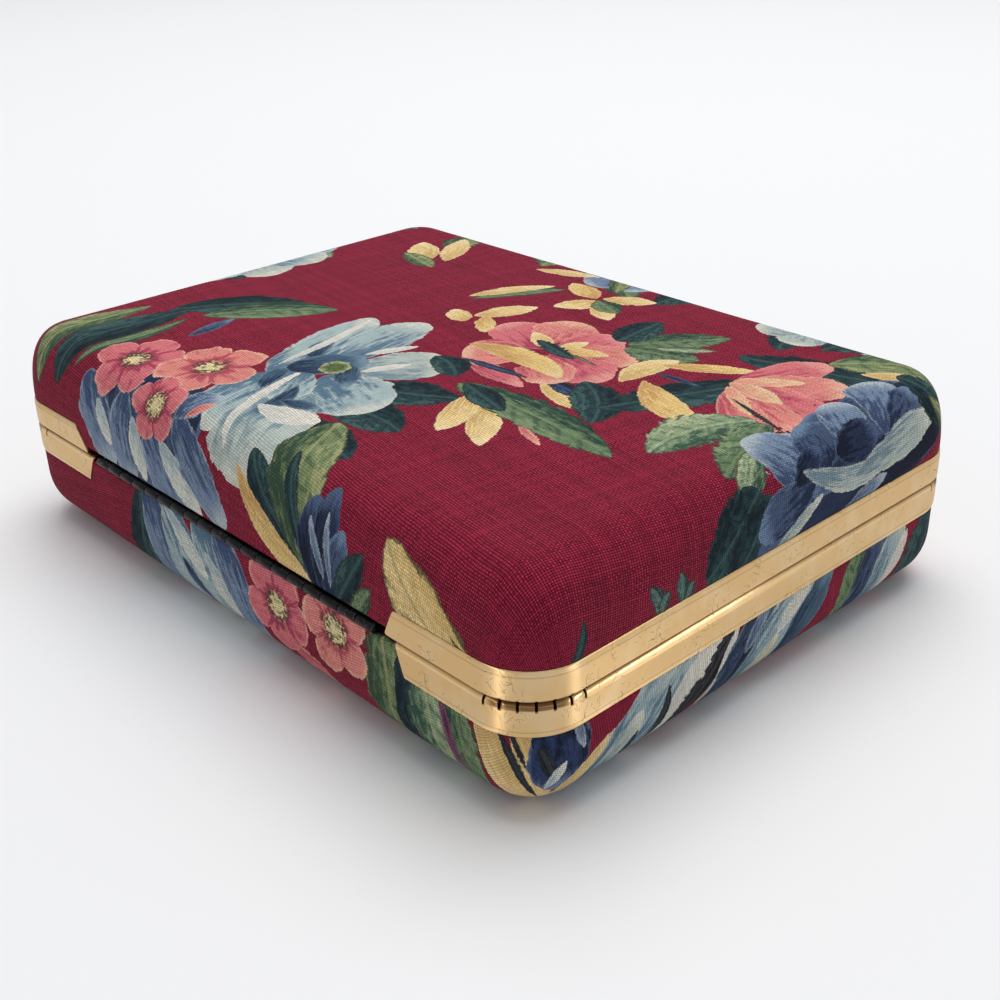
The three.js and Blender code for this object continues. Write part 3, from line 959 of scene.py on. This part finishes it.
def cottonMaterial():
    material, tree, shader = newMaterial("printed cotton")
    across, down, underBand = split(attribute(tree, "clothPlace"))
    place = join(across, down)
    weave = use(weaveGroup, Place=place, Pitch=cotton["thread"])
    thread = blendColour(between(noise(place, 0.09, 3.0), 0.35, 0.7), paint(cotton["threadColour"]),
                         paint(cotton["deepThread"]))
    # painted shade in the gaps between the threads and painted highlight on their tops, from the weave's height
    lit = calc("MULTIPLY", scaled(weave["Height"], 1.45, -0.38), scaled(weave["Tint"], 0.9, 0.45), clamp=True)
    colour = blendColour(lit, paint(cotton["shadedGapColour"]), thread)
    for kind, slots in motifSlots.items():
        for s in reversed(range(slots)):
            parts = {part: attribute(tree, f"{kind}{part}{s}", "Color") for part in motifParts[kind]}
            made = use(motifGroups[kind], Place=attribute(tree, f"{kind}Place{s}"),
                       Form=attribute(tree, f"{kind}Form{s}"), Jitter=weave["Jitter"], **parts)
            colour = blendColour(made["Mask"], colour, made["Colour"])
    # more painted shade and highlight from the weave's height, times the threads' own random tint
    light = scaled(weave["Height"], 0.7, 0.42) * scaled(weave["Tint"], 0.5, 0.75)
    # painted shade: the cloth under the band, which shows through the notches, is darkened as if the band shaded it
    light = light * between(underBand, 0.0, 0.6, 1.0, cotton["underBand"])
    feedAll(shader, {"Base Color": blendColour(1.0, colour, join(light, light, light), "MULTIPLY"),
                     "Normal": bump(weave["Height"], cotton["weaveBump"], cotton["bumpHeight"]),
                     "Roughness": cotton["roughness"], "Sheen Weight": cotton["sheen"],
                     "Specular IOR Level": cotton["gloss"]})
    return material


def insideMaterial():
    material, tree, shader = newMaterial("plain cotton")
    weave = use(weaveGroup, Place=millimetrePlace(tree), Pitch=cotton["thread"])
    light = scaled(weave["Height"], 0.4, 0.7)
    feedAll(shader, {"Base Color": blendColour(1.0, paint(cotton["insideColour"]), join(light, light, light),
                                               "MULTIPLY"),
                     "Roughness": cotton["insideRoughness"], "Specular IOR Level": cotton["insideGloss"]})
    return material


clothOutside, clothInside = cottonMaterial(), insideMaterial()

shells = {
    "lid": {"inset": 11.7, "rise": 18.0, "fullness": 0.74, "crown": 1.2, "edgeRows": 26, "valley": 0.22,
            "roll": 0.8, "softness": 0.06, "node": "lid_shell"},
    "base": {"inset": 11.6, "rise": 12.4, "fullness": 0.95, "crown": 0.0, "edgeRows": 18, "valley": 0.22,
             "roll": 0.8, "softness": 0.06, "node": "base_shell"},
}
# Scattered print of the faces that the photograph hides: (face, half width, low, high, seed).
hiddenPrint = {
    "lid": [("front", 86, 4, 18, 11), ("right", 62, 4, 18, 12)],
    "base": [("front", 86, 8, 22, 13), ("right", 62, 8, 22, 14)],
}
hiddenFloor = {"halfX": 84, "halfY": 60, "seed": 40}


def meshFrom(made, name):
    bmesh.ops.recalc_face_normals(made, faces=made.faces)
    mesh = bpy.data.meshes.new(name)
    made.to_mesh(mesh)
    made.free()
    return mesh


def buildShell(name, body):
    form = shells[name]
    mesh, chart, outerFaces = shellMesh(name, form)
    rows = []
    for face, width, low, high, seed in hiddenPrint[name]:
        rows += scatterPrint(face, width, low, high, seed)
    if name == "base":
        rows += scatterFloor(**hiddenFloor)
    rows += readPrint(lidPrint if name == "lid" else basePrint)
    layPrint(mesh, rows, chart, outerFaces, 1 if name == "lid" else -1)
    mesh.materials.append(clothOutside)
    mesh.materials.append(clothInside)
    inside = np.zeros(len(mesh.polygons), dtype=np.int32)
    inside[outerFaces:] = 1
    mesh.polygons.foreach_set("material_index", inside)
    shell = newObject(name + "_cloth", mesh)
    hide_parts(form["node"])
    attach(shell, body)


buildShell("lid", "lid")
buildShell("base", "base")
print("shells built")


# Fine marks on metal, by a place (along, up, deep) in millimetres: brushed lines, scratches and pits.
# Each kind of scratch is (scale of its cells, half width, half length, share of cells without one).
wearLook = {
    "scratches": ((0.34, 0.06, 1.3, 0.3), (0.7, 0.05, 0.55, 0.4), (0.19, 0.055, 2.4, 0.4)),
    "bend": (1.1, 1.1, 0),
    "sparse": (0.46, 0.6),
    "pitScale": 0.55,
    "pitRadius": (0.11, 0.05),
    "pitShare": 0.72,
}


def metalWear(place, amount):
    x, y, z = split(place)
    brush = noise(join(x * 0.05, y * 3.0, z * 0.05), 2.0, 4.0, 0.7)
    bent = node("ShaderNodeTexNoise", "Color", Vector=place, Scale=0.7, Detail=1.0)
    bent = calc("MULTIPLY_ADD", bent, wearLook["bend"], place, kind="ShaderNodeVectorMath")
    scratch = None
    for scale, wide, length, share in wearLook["scratches"]:
        spot = node("ShaderNodeTexVoronoi", "Position", {"voronoi_dimensions": "2D"}, Vector=bent, Scale=scale)
        dx, dy, _ = split(calc("SUBTRACT", bent, spot, kind="ShaderNodeVectorMath"))
        spin, pick, _ = split(sibling(spot, "Color"))
        angle = spin * math.pi
        cosine, sine = calc("COSINE", angle), calc("SINE", angle)
        a, b = scaled(dx, cosine, dy * sine), dy * cosine - dx * sine
        line = between(abs(b), wide, wide * 0.4) * between(abs(a), length, length * 0.7)
        line = line * calc("GREATER_THAN", pick, share)
        scratch = line if scratch is None else calc("MAXIMUM", scratch, line)
    scratch = scratch * between(noise(place, 0.1), *wearLook["sparse"])
    spots = node("ShaderNodeTexVoronoi", "Distance", Vector=place, Scale=wearLook["pitScale"])
    pick = split(sibling(spots, "Color"))[0]
    pit = between(spots, *wearLook["pitRadius"]) * calc("GREATER_THAN", pick, wearLook["pitShare"])
    return brush, scratch * amount, pit * amount, noise(place, 0.12, 3.0)


# Along, up and deep on the metal: round the case where x and y change together, up by z.
def metalPlace(tree):
    x, y, z = split(millimetrePlace(tree))
    return join(x + y, z, x - y)


wearGroup = group(metalWear, {"Place": "Vector", "Amount": "Float"},
                  {"Brush": "Float", "Scratch": "Float", "Pit": "Float", "Cloud": "Float"})
gold = {
    "colour": (243, 205, 147),
    "worn": (248, 216, 166),
    "dirt": (104, 72, 40),
    # painted shade for the seam between the bands, and how far from the parting line it reaches
    "paintedSeamShade": (112, 74, 38),
    "paintedSeamShadeDepth": 0.6,
    # painted dark reflection on the smooth bead at the corners, and where it starts and ends past the straight sides
    "paintedBeadReflection": (112, 74, 36),
    "paintedBeadReflectionSpan": (1.5, 4.0),
    "line": {"lid": 5.0, "base": 5.8},
    "lineWidth": 0.22,
    "roughness": 0.42,
    "beadRoughness": 0.3,
    "brushing": 0.95,
    "marks": 1.0,
    "bump": 0.25,
    "bumpHeight": 0.1,
}
darkMetal = {"colour": (30, 29, 31), "worn": (92, 90, 90), "roughness": 0.42, "marks": 1.0, "metallic": 0.8}


def goldMaterial():
    material, tree, shader = newMaterial("champagne gold")
    wear = use(wearGroup, Place=metalPlace(tree), Amount=gold["marks"])
    dirt = paint(gold["dirt"])
    colour = blendColour(between(wear["Cloud"], 0.4, 0.7), paint(gold["colour"]), paint(gold["worn"]))
    colour = blendColour(wear["Scratch"] * 0.85, colour, dirt)
    colour = blendColour(wear["Pit"] * 0.8, colour, dirt)
    x, y, z = split(millimetrePlace(tree))
    height = z - case["parting"]
    for side, name in ((1, "lid"), (-1, "base")):
        off = abs(height - side * gold["line"][name])
        colour = blendColour(between(off, gold["lineWidth"], 0.0, 0.0, 0.3), colour, dirt)
    # painted dark reflection on the bead between the corner notches, uneven with the brushed lines
    start, end = gold["paintedBeadReflectionSpan"]
    cornerX, cornerY = [between(abs(place), edge + start, edge + end) for place, edge in zip((x, y), straightEnds)]
    bead = cornerX * cornerY * between(abs(height + 0.75), 0.9, 0.6)
    bead = bead * between(wear["Brush"], 0.3, 0.6, 0.55, 0.95)
    colour = blendColour(bead, colour, paint(gold["paintedBeadReflection"]))
    # painted shade in the seam between the bands, but not on the faces that look up or down
    facing = split(node("ShaderNodeTexCoord", "Normal", tree=tree))[2]
    seam = between(abs(height), gold["paintedSeamShadeDepth"], case["frameGap"] / 2) * between(abs(facing), 0.98, 0.85)
    rough = scaled(wear["Brush"], 0.12, gold["roughness"] - 0.06) + wear["Cloud"] * 0.08
    onBead = between(abs(height + 0.6), 0.75, 0.45)
    relief = scaled(wear["Brush"], 0.12, wear["Cloud"] * 1.4) - (wear["Scratch"] + wear["Pit"]) * 0.5
    feedAll(shader, {"Base Color": blendColour(seam, colour, paint(gold["paintedSeamShade"])),
                     "Roughness": mix(onBead, rough, gold["beadRoughness"]), "Metallic": 1.0,
                     "Anisotropic": gold["brushing"], "Anisotropic Rotation": 0.25,
                     "Tangent": node("ShaderNodeTangent", settings={"direction_type": "RADIAL", "axis": "Z"},
                                     tree=tree),
                     "Normal": bump(relief, gold["bump"], gold["bumpHeight"])})
    return material


def darkMaterial():
    material, tree, shader = newMaterial("blackened steel")
    wear = use(wearGroup, Place=metalPlace(tree), Amount=darkMetal["marks"])
    scuff = calc("MAXIMUM", wear["Scratch"], between(wear["Cloud"], 0.62, 0.75, 0.0, 0.5))
    feedAll(shader, {"Base Color": blendColour(scuff, paint(darkMetal["colour"]), paint(darkMetal["worn"])),
                     "Roughness": scaled(wear["Brush"], 0.2, darkMetal["roughness"] - 0.1),
                     "Metallic": darkMetal["metallic"]})
    return material


goldMetal, darkSteel = goldMaterial(), darkMaterial()

# The gold channel over each rim.
channel = {
    "thickness": 0.5,
    "web": 0.8,
    "legInset": 2.8,
    "legThickness": 0.5,
    "legDepth": 4.0,
    "legTip": 0.12,
    "fold": 0.15,
    "innerFold": 0.2,
    "upperEdge": (0.08, 0.1),
    "webMiddle": 2.2,
    "bead": {"base": 1.1, "lid": 0.3},
    "beadSteps": {"base": 8, "lid": 4},
    "tuckedEdge": ((0.0, 0.34), (0.1, 0.21), (0.25, 0.14), (0.5, 0.085), (0.8, 0.04), (1.1, 0.012), (1.4, 0.0)),
    "endRound": {"base": 0.25, "lid": 1.0},
    "farRound": 0.25,
    "cornerSteps": 28,
    "bevel": 0.06,
    "bevelAbove": 55,
    "sharpAbove": 32,
}
notches = {"count": 7, "middle": 51.0, "step": 14.4, "width": 0.55, "depth": {"base": 1.8, "lid": 0.35},
           "length": 8.0, "from": 11.0, "round": 0.16}


# The channel's outline in (inset from the side, height from the parting line).
def channelSection(name):
    top, far = case["frameGap"] / 2, case["frameGap"] / 2 + bandHeights[name]
    bead, skin, fold, tip = channel["bead"][name], channel["thickness"], channel["fold"], channel["legTip"]
    web, low = top + channel["web"], top + channel["legDepth"]
    legIn, inner, (upperIn, upperDown) = channel["legInset"], channel["innerFold"], channel["upperEdge"]
    leg = legIn + channel["legThickness"]
    rows = [(tuck, far - down) for down, tuck in channel["tuckedEdge"]]
    rows += [(0.0, height) for height in np.linspace(far - 2.2, top + bead + 0.9, 3)]
    rows += [(0.0, top + bead + 0.6), (0.0, top + bead + 0.3)]
    rows += [(bead * (1 - math.cos(t)), top + bead * (1 - math.sin(t)))
             for t in np.linspace(0, math.pi / 2, channel["beadSteps"][name] + 1)]
    rows += [(channel["webMiddle"], top), (leg - fold, top), (leg, top + fold), (leg, low - tip), (leg - tip, low),
             (legIn + tip, low), (legIn, low - tip), (legIn, web + fold), (legIn - fold, web), (skin + inner, web),
             (skin, web + inner), (skin, far - upperDown), (skin - upperIn, far)]
    return rows


def pathAt(inset, steps):
    radius = case["corner"] - inset
    points = []
    for quarter, (cx, cy) in enumerate(caseCorners):
        for k in range(steps + 1):
            turn = math.pi / 2 * (1 + quarter + k / steps)
            points.append((cx + radius * math.cos(turn), cy + radius * math.sin(turn)))
    return points


def buildFrame(name, side, body):
    rows = channelSection(name)
    far = case["frameGap"] / 2 + bandHeights[name]
    top, radius, farRound = case["frameGap"] / 2, channel["endRound"][name], channel["farRound"]
    ends = bandEnds[name]
    made = bmesh.new()
    lines = []
    for inset, height in rows:
        y, z = case["width"] / 2 - inset, case["parting"] + side * height
        low = max(radius - (height - top), 0) / radius
        high = max(farRound - (far - height), 0) / farRound
        back = radius * (1 - math.sqrt(1 - min(low, 1) ** 2)) + farRound * (1 - math.sqrt(1 - min(high, 1) ** 2))
        share = height / far
        left = ends["left"]["inner"] + (ends["left"]["outer"] - ends["left"]["inner"]) * share + back
        right = ends["right"]["inner"] + (ends["right"]["outer"] - ends["right"]["inner"]) * share + back
        points = [(-left, y), (-left - farRound, y), *pathAt(inset, channel["cornerSteps"]), (right + farRound, y),
                  (right, y)]
        lines.append([made.verts.new((px * mm, py * mm, z * mm)) for px, py in points])
    for index, line in enumerate(lines):
        following = lines[(index + 1) % len(lines)]
        for s in range(len(line) - 1):
            made.faces.new((line[s], following[s], following[s + 1], line[s + 1]))
    made.faces.new([line[0] for line in lines])
    made.faces.new([line[-1] for line in reversed(lines)])
    band = newObject(name + "_band", meshFrom(made, name + "_band"))
    cutNotches(band, name, side)
    applyModifier(band, "BEVEL", width=channel["bevel"] * mm, segments=2, limit_method="ANGLE",
                  angle_limit=math.radians(channel["bevelAbove"]), use_clamp_overlap=True, harden_normals=False)
    band.data.shade_smooth()
    band.data.set_sharp_from_angle(angle=math.radians(channel["sharpAbove"]))
    band.data.materials.clear()
    band.data.materials.append(goldMetal)
    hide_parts(name + "_frame")
    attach(band, body)


def applyModifier(target, kind, **settings):
    modifier = target.modifiers.new(kind.lower(), kind)
    for key, value in settings.items():
        setattr(modifier, key, value)
    evaluated = target.evaluated_get(bpy.context.evaluated_depsgraph_get())
    mesh = bpy.data.meshes.new_from_object(evaluated)
    target.modifiers.remove(modifier)
    old = target.data
    target.data = mesh
    bpy.data.meshes.remove(old)


def cutNotches(band, name, side):
    cutter = bmesh.new()
    depth = notches["depth"][name]
    for quarter, (cx, cy) in enumerate(caseCorners):
        for k in range(notches["count"]):
            into = notches["middle"] + notches["step"] * (k - (notches["count"] - 1) / 2)
            turn = math.radians(90 * (1 + quarter) + into)
            size = Matrix.Diagonal((notches["length"] * mm, notches["width"] * mm, 2 * depth * mm, 1))
            place = Matrix.Translation(((cx + notches["from"] * math.cos(turn)) * mm,
                                        (cy + notches["from"] * math.sin(turn)) * mm,
                                        (case["parting"] + side * case["frameGap"] / 2) * mm))
            slot = bmesh.ops.create_cube(cutter, size=1.0, matrix=place @ Matrix.Rotation(turn, 4, "Z") @ size)
            upright = [edge for edge in {e for v in slot["verts"] for e in v.link_edges}
                       if abs(edge.verts[0].co.z - edge.verts[1].co.z) < 1e-6
                       and abs((edge.verts[0].co - edge.verts[1].co).length - notches["length"] * mm) < 1e-5]
            bmesh.ops.bevel(cutter, geom=upright, offset=notches["round"] * mm, segments=3, affect="EDGES",
                            profile=0.5)
    mesh = bpy.data.meshes.new("notches")
    cutter.to_mesh(mesh)
    cutter.free()
    tool = newObject("notches", mesh)
    applyModifier(band, "BOOLEAN", operation="DIFFERENCE", solver="EXACT", object=tool)
    bpy.data.objects.remove(tool)


buildFrame("base", -1, "base")
buildFrame("lid", 1, "lid")
print("frames built")

# The hinge at the back: two leaves that share a row of knuckles, and the pin through them.
hinge = {
    "pitch": 5.25,
    "count": 19,
    "gap": 0.2,
    "shift": -0.2,
    "radius": 0.95,
    "bore": 0.52,
    "pin": 0.44,
    "y": 65.3,
    "thickness": 0.6,
    "depth": 8.0,
    "inner": 3.4,
    "bendRadius": 0.25,
    "sides": 24,
    "pinSides": 16,
    "chamfer": 0.14,
    "pinChamfer": 0.12,
    "sharpAbove": 35,
}


def addLathe(made, profile, sides, y, z):
    rings = [[made.verts.new((x * mm, (y + r * math.cos(2 * math.pi * k / sides)) * mm,
                              (z + r * math.sin(2 * math.pi * k / sides)) * mm)) for k in range(sides)]
             for x, r in profile]
    for a, b in zip(rings, rings[1:] + rings[:1]):
        for k in range(sides):
            made.faces.new((a[k], b[k], b[(k + 1) % sides], a[(k + 1) % sides]))


def addStrip(made, section, x0, x1):
    ends = [[made.verts.new((x * mm, y * mm, z * mm)) for y, z in section] for x in (x0, x1)]
    for k in range(len(section)):
        j = (k + 1) % len(section)
        made.faces.new((ends[0][k], ends[0][j], ends[1][j], ends[1][k]))
    made.faces.new(list(reversed(ends[0])))
    made.faces.new(ends[1])


def buildLeaf(name, side, first, body):
    made = bmesh.new()
    start = hinge["shift"] - hinge["pitch"] * hinge["count"] / 2
    end = start + hinge["pitch"] * hinge["count"]

    def z(height):
        return case["parting"] + side * height

    near = hinge["radius"] - hinge["thickness"]
    plate = case["width"] / 2 - hinge["inner"]
    lip = hinge["y"] - hinge["radius"] - hinge["gap"]
    bend = [(plate + hinge["bendRadius"] * (1 - math.sin(t)), z(near + hinge["bendRadius"] * (1 - math.cos(t))))
            for t in np.linspace(0, 1.57, 5)]
    section = [(plate, z(hinge["depth"] - 0.15)), *reversed(bend), (lip, z(near)), (lip, z(hinge["radius"])),
               (plate + hinge["thickness"], z(hinge["radius"])),
               (plate + hinge["thickness"], z(hinge["depth"] - 0.15)), (plate + 0.45, z(hinge["depth"])),
               (plate + 0.15, z(hinge["depth"]))]
    addStrip(made, section, start, end)
    c, r, b = hinge["chamfer"], hinge["radius"], hinge["bore"]
    for k in range(first, hinge["count"], 2):
        x0 = start + hinge["pitch"] * k + hinge["gap"] / 2
        x1 = x0 + hinge["pitch"] - hinge["gap"]
        addLathe(made, ((x0, b), (x0, r - c), (x0 + c * 0.3, r - c * 0.3), (x0 + c, r), (x1 - c, r),
                        (x1 - c * 0.3, r - c * 0.3), (x1, r - c), (x1, b)), hinge["sides"], hinge["y"], case["parting"])
        tab = [(lip - 0.1, z(near)), (hinge["y"] - 0.5, z(near)), (hinge["y"] - 0.2, z(0.8)),
               (hinge["y"] - 0.1, z(r - 0.02)), (lip - 0.1, z(r - 0.02))]
        addStrip(made, tab, x0 + 0.1, x1 - 0.1)
    finishHinge(name + "_plate", meshFrom(made, name), name, body)


def finishHinge(pieceName, mesh, cadNode, body):
    mesh.shade_smooth()
    mesh.set_sharp_from_angle(angle=math.radians(hinge["sharpAbove"]))
    mesh.materials.append(darkSteel)
    piece = newObject(pieceName, mesh)
    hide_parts(cadNode)
    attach(piece, body)


def buildPin():
    made = bmesh.new()
    half = (hinge["pitch"] * hinge["count"] - hinge["gap"]) / 2
    x0, x1, r, c = hinge["shift"] - half, hinge["shift"] + half, hinge["pin"], hinge["pinChamfer"]
    addLathe(made, ((x0, 0.001), (x0, r - c), (x0 + c, r), (x1 - c, r), (x1, r - c), (x1, 0.001)),
             hinge["pinSides"], hinge["y"], case["parting"])
    finishHinge("hinge_wire", meshFrom(made, "pin"), "hinge_pin", "base")


buildLeaf("base_leaf", -1, 0, "base")
buildLeaf("lid_leaf", 1, 1, "lid")
buildPin()
print("hinge built")

# The clasp plate on the front, plain because the photograph hides it.
clasp = {"width": 22.0, "height": 10.0, "thickness": 1.4, "corner": 2.5, "bevel": 0.4, "drop": 4.4, "gap": 0.3,
         "edge": 0.12, "cornerSteps": 8, "sharpAbove": 40}


def buildClasp():
    made = bmesh.new()
    backY = -case["width"] / 2 - clasp["gap"]
    middle = case["parting"] - clasp["drop"] + clasp["height"] / 2
    thick, bevel, edge = clasp["thickness"], clasp["bevel"], clasp["edge"]
    layers = [(edge, 0.0), (0.0, edge)]
    for turn in np.linspace(0, math.pi / 2, 5):
        layers.append((bevel * (1 - math.cos(turn)), thick - bevel * (1 - math.sin(turn))))
    layers += [(1.3, thick), (1.5, thick - edge)]
    rings = []
    for inward, out in layers:
        w, h = clasp["width"] / 2 - inward, clasp["height"] / 2 - inward
        r = max(clasp["corner"] - inward, 0.6)
        ring = []
        for quarter, (sx, sz) in enumerate(((1, 1), (-1, 1), (-1, -1), (1, -1))):
            for k in range(clasp["cornerSteps"] + 1):
                turn = math.pi / 2 * (quarter + k / clasp["cornerSteps"])
                ring.append(made.verts.new(((sx * (w - r) + r * math.cos(turn)) * mm, (backY - out) * mm,
                                            (middle + sz * (h - r) + r * math.sin(turn)) * mm)))
        rings.append(ring)
    for a, b in zip(rings, rings[1:]):
        for k in range(len(a)):
            made.faces.new((a[k], a[(k + 1) % len(a)], b[(k + 1) % len(a)], b[k]))
    made.faces.new(list(reversed(rings[0])))
    made.faces.new(rings[-1])
    mesh = meshFrom(made, "clasp")
    mesh.shade_smooth()
    mesh.set_sharp_from_angle(angle=math.radians(clasp["sharpAbove"]))
    mesh.materials.append(goldMetal)
    plate = newObject("clasp_plate", mesh)
    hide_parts("front_clasp")
    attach(plate, "lid")


buildClasp()
print("clasp built")

stage = {
    "floorSize": 3.0,
    "floorColour": (0.86, 0.86, 0.87, 1),
    "floorRoughness": 0.7,
    "worldColour": (0.96, 0.98, 1.0, 1),
    "worldStrength": 0.47,
}
# The two small lamps only put streaks on the gold, so they light no matt surface.
lamps = [
    {"name": "top_softbox", "place": (0.3, -0.5, 1.9), "aim": (0, 0, 0.02), "size": 1.8, "watts": 31.8,
     "matt": True},
    {"name": "back_light", "place": (-0.09, 1.5, 0.5), "aim": (-0.08, 0.05, 0.02), "size": 0.24, "watts": 4.0,
     "matt": False},
    {"name": "left_light", "place": (-1.45, -0.62, 0.45), "aim": (-0.08, 0.05, 0.02), "size": 0.4, "watts": 4.0,
     "matt": False},
]


def buildStage():
    bpy.ops.mesh.primitive_plane_add(size=stage["floorSize"])
    floor = bpy.context.object
    floor.name = "floor"
    material, _, shader = newMaterial("pale floor")
    feedAll(shader, {"Base Color": stage["floorColour"], "Roughness": stage["floorRoughness"]})
    floor.data.materials.append(material)
    world = bpy.data.worlds.new("studio")
    world.use_nodes = True
    background = world.node_tree.nodes["Background"]
    background.inputs["Color"].default_value = stage["worldColour"]
    background.inputs["Strength"].default_value = stage["worldStrength"]
    bpy.context.scene.world = world
    for lamp in lamps:
        light = bpy.data.lights.new(lamp["name"], "AREA")
        light.size = lamp["size"]
        light.energy = lamp["watts"]
        lightObject = newObject(lamp["name"], light)
        place = Vector(lamp["place"])
        lightObject.location = place
        lightObject.rotation_euler = (Vector(lamp["aim"]) - place).to_track_quat("-Z", "Y").to_euler()
        lightObject.visible_diffuse = lamp["matt"]


buildStage()
bpy.context.scene.view_settings.view_transform = "Standard"
print("stage built")
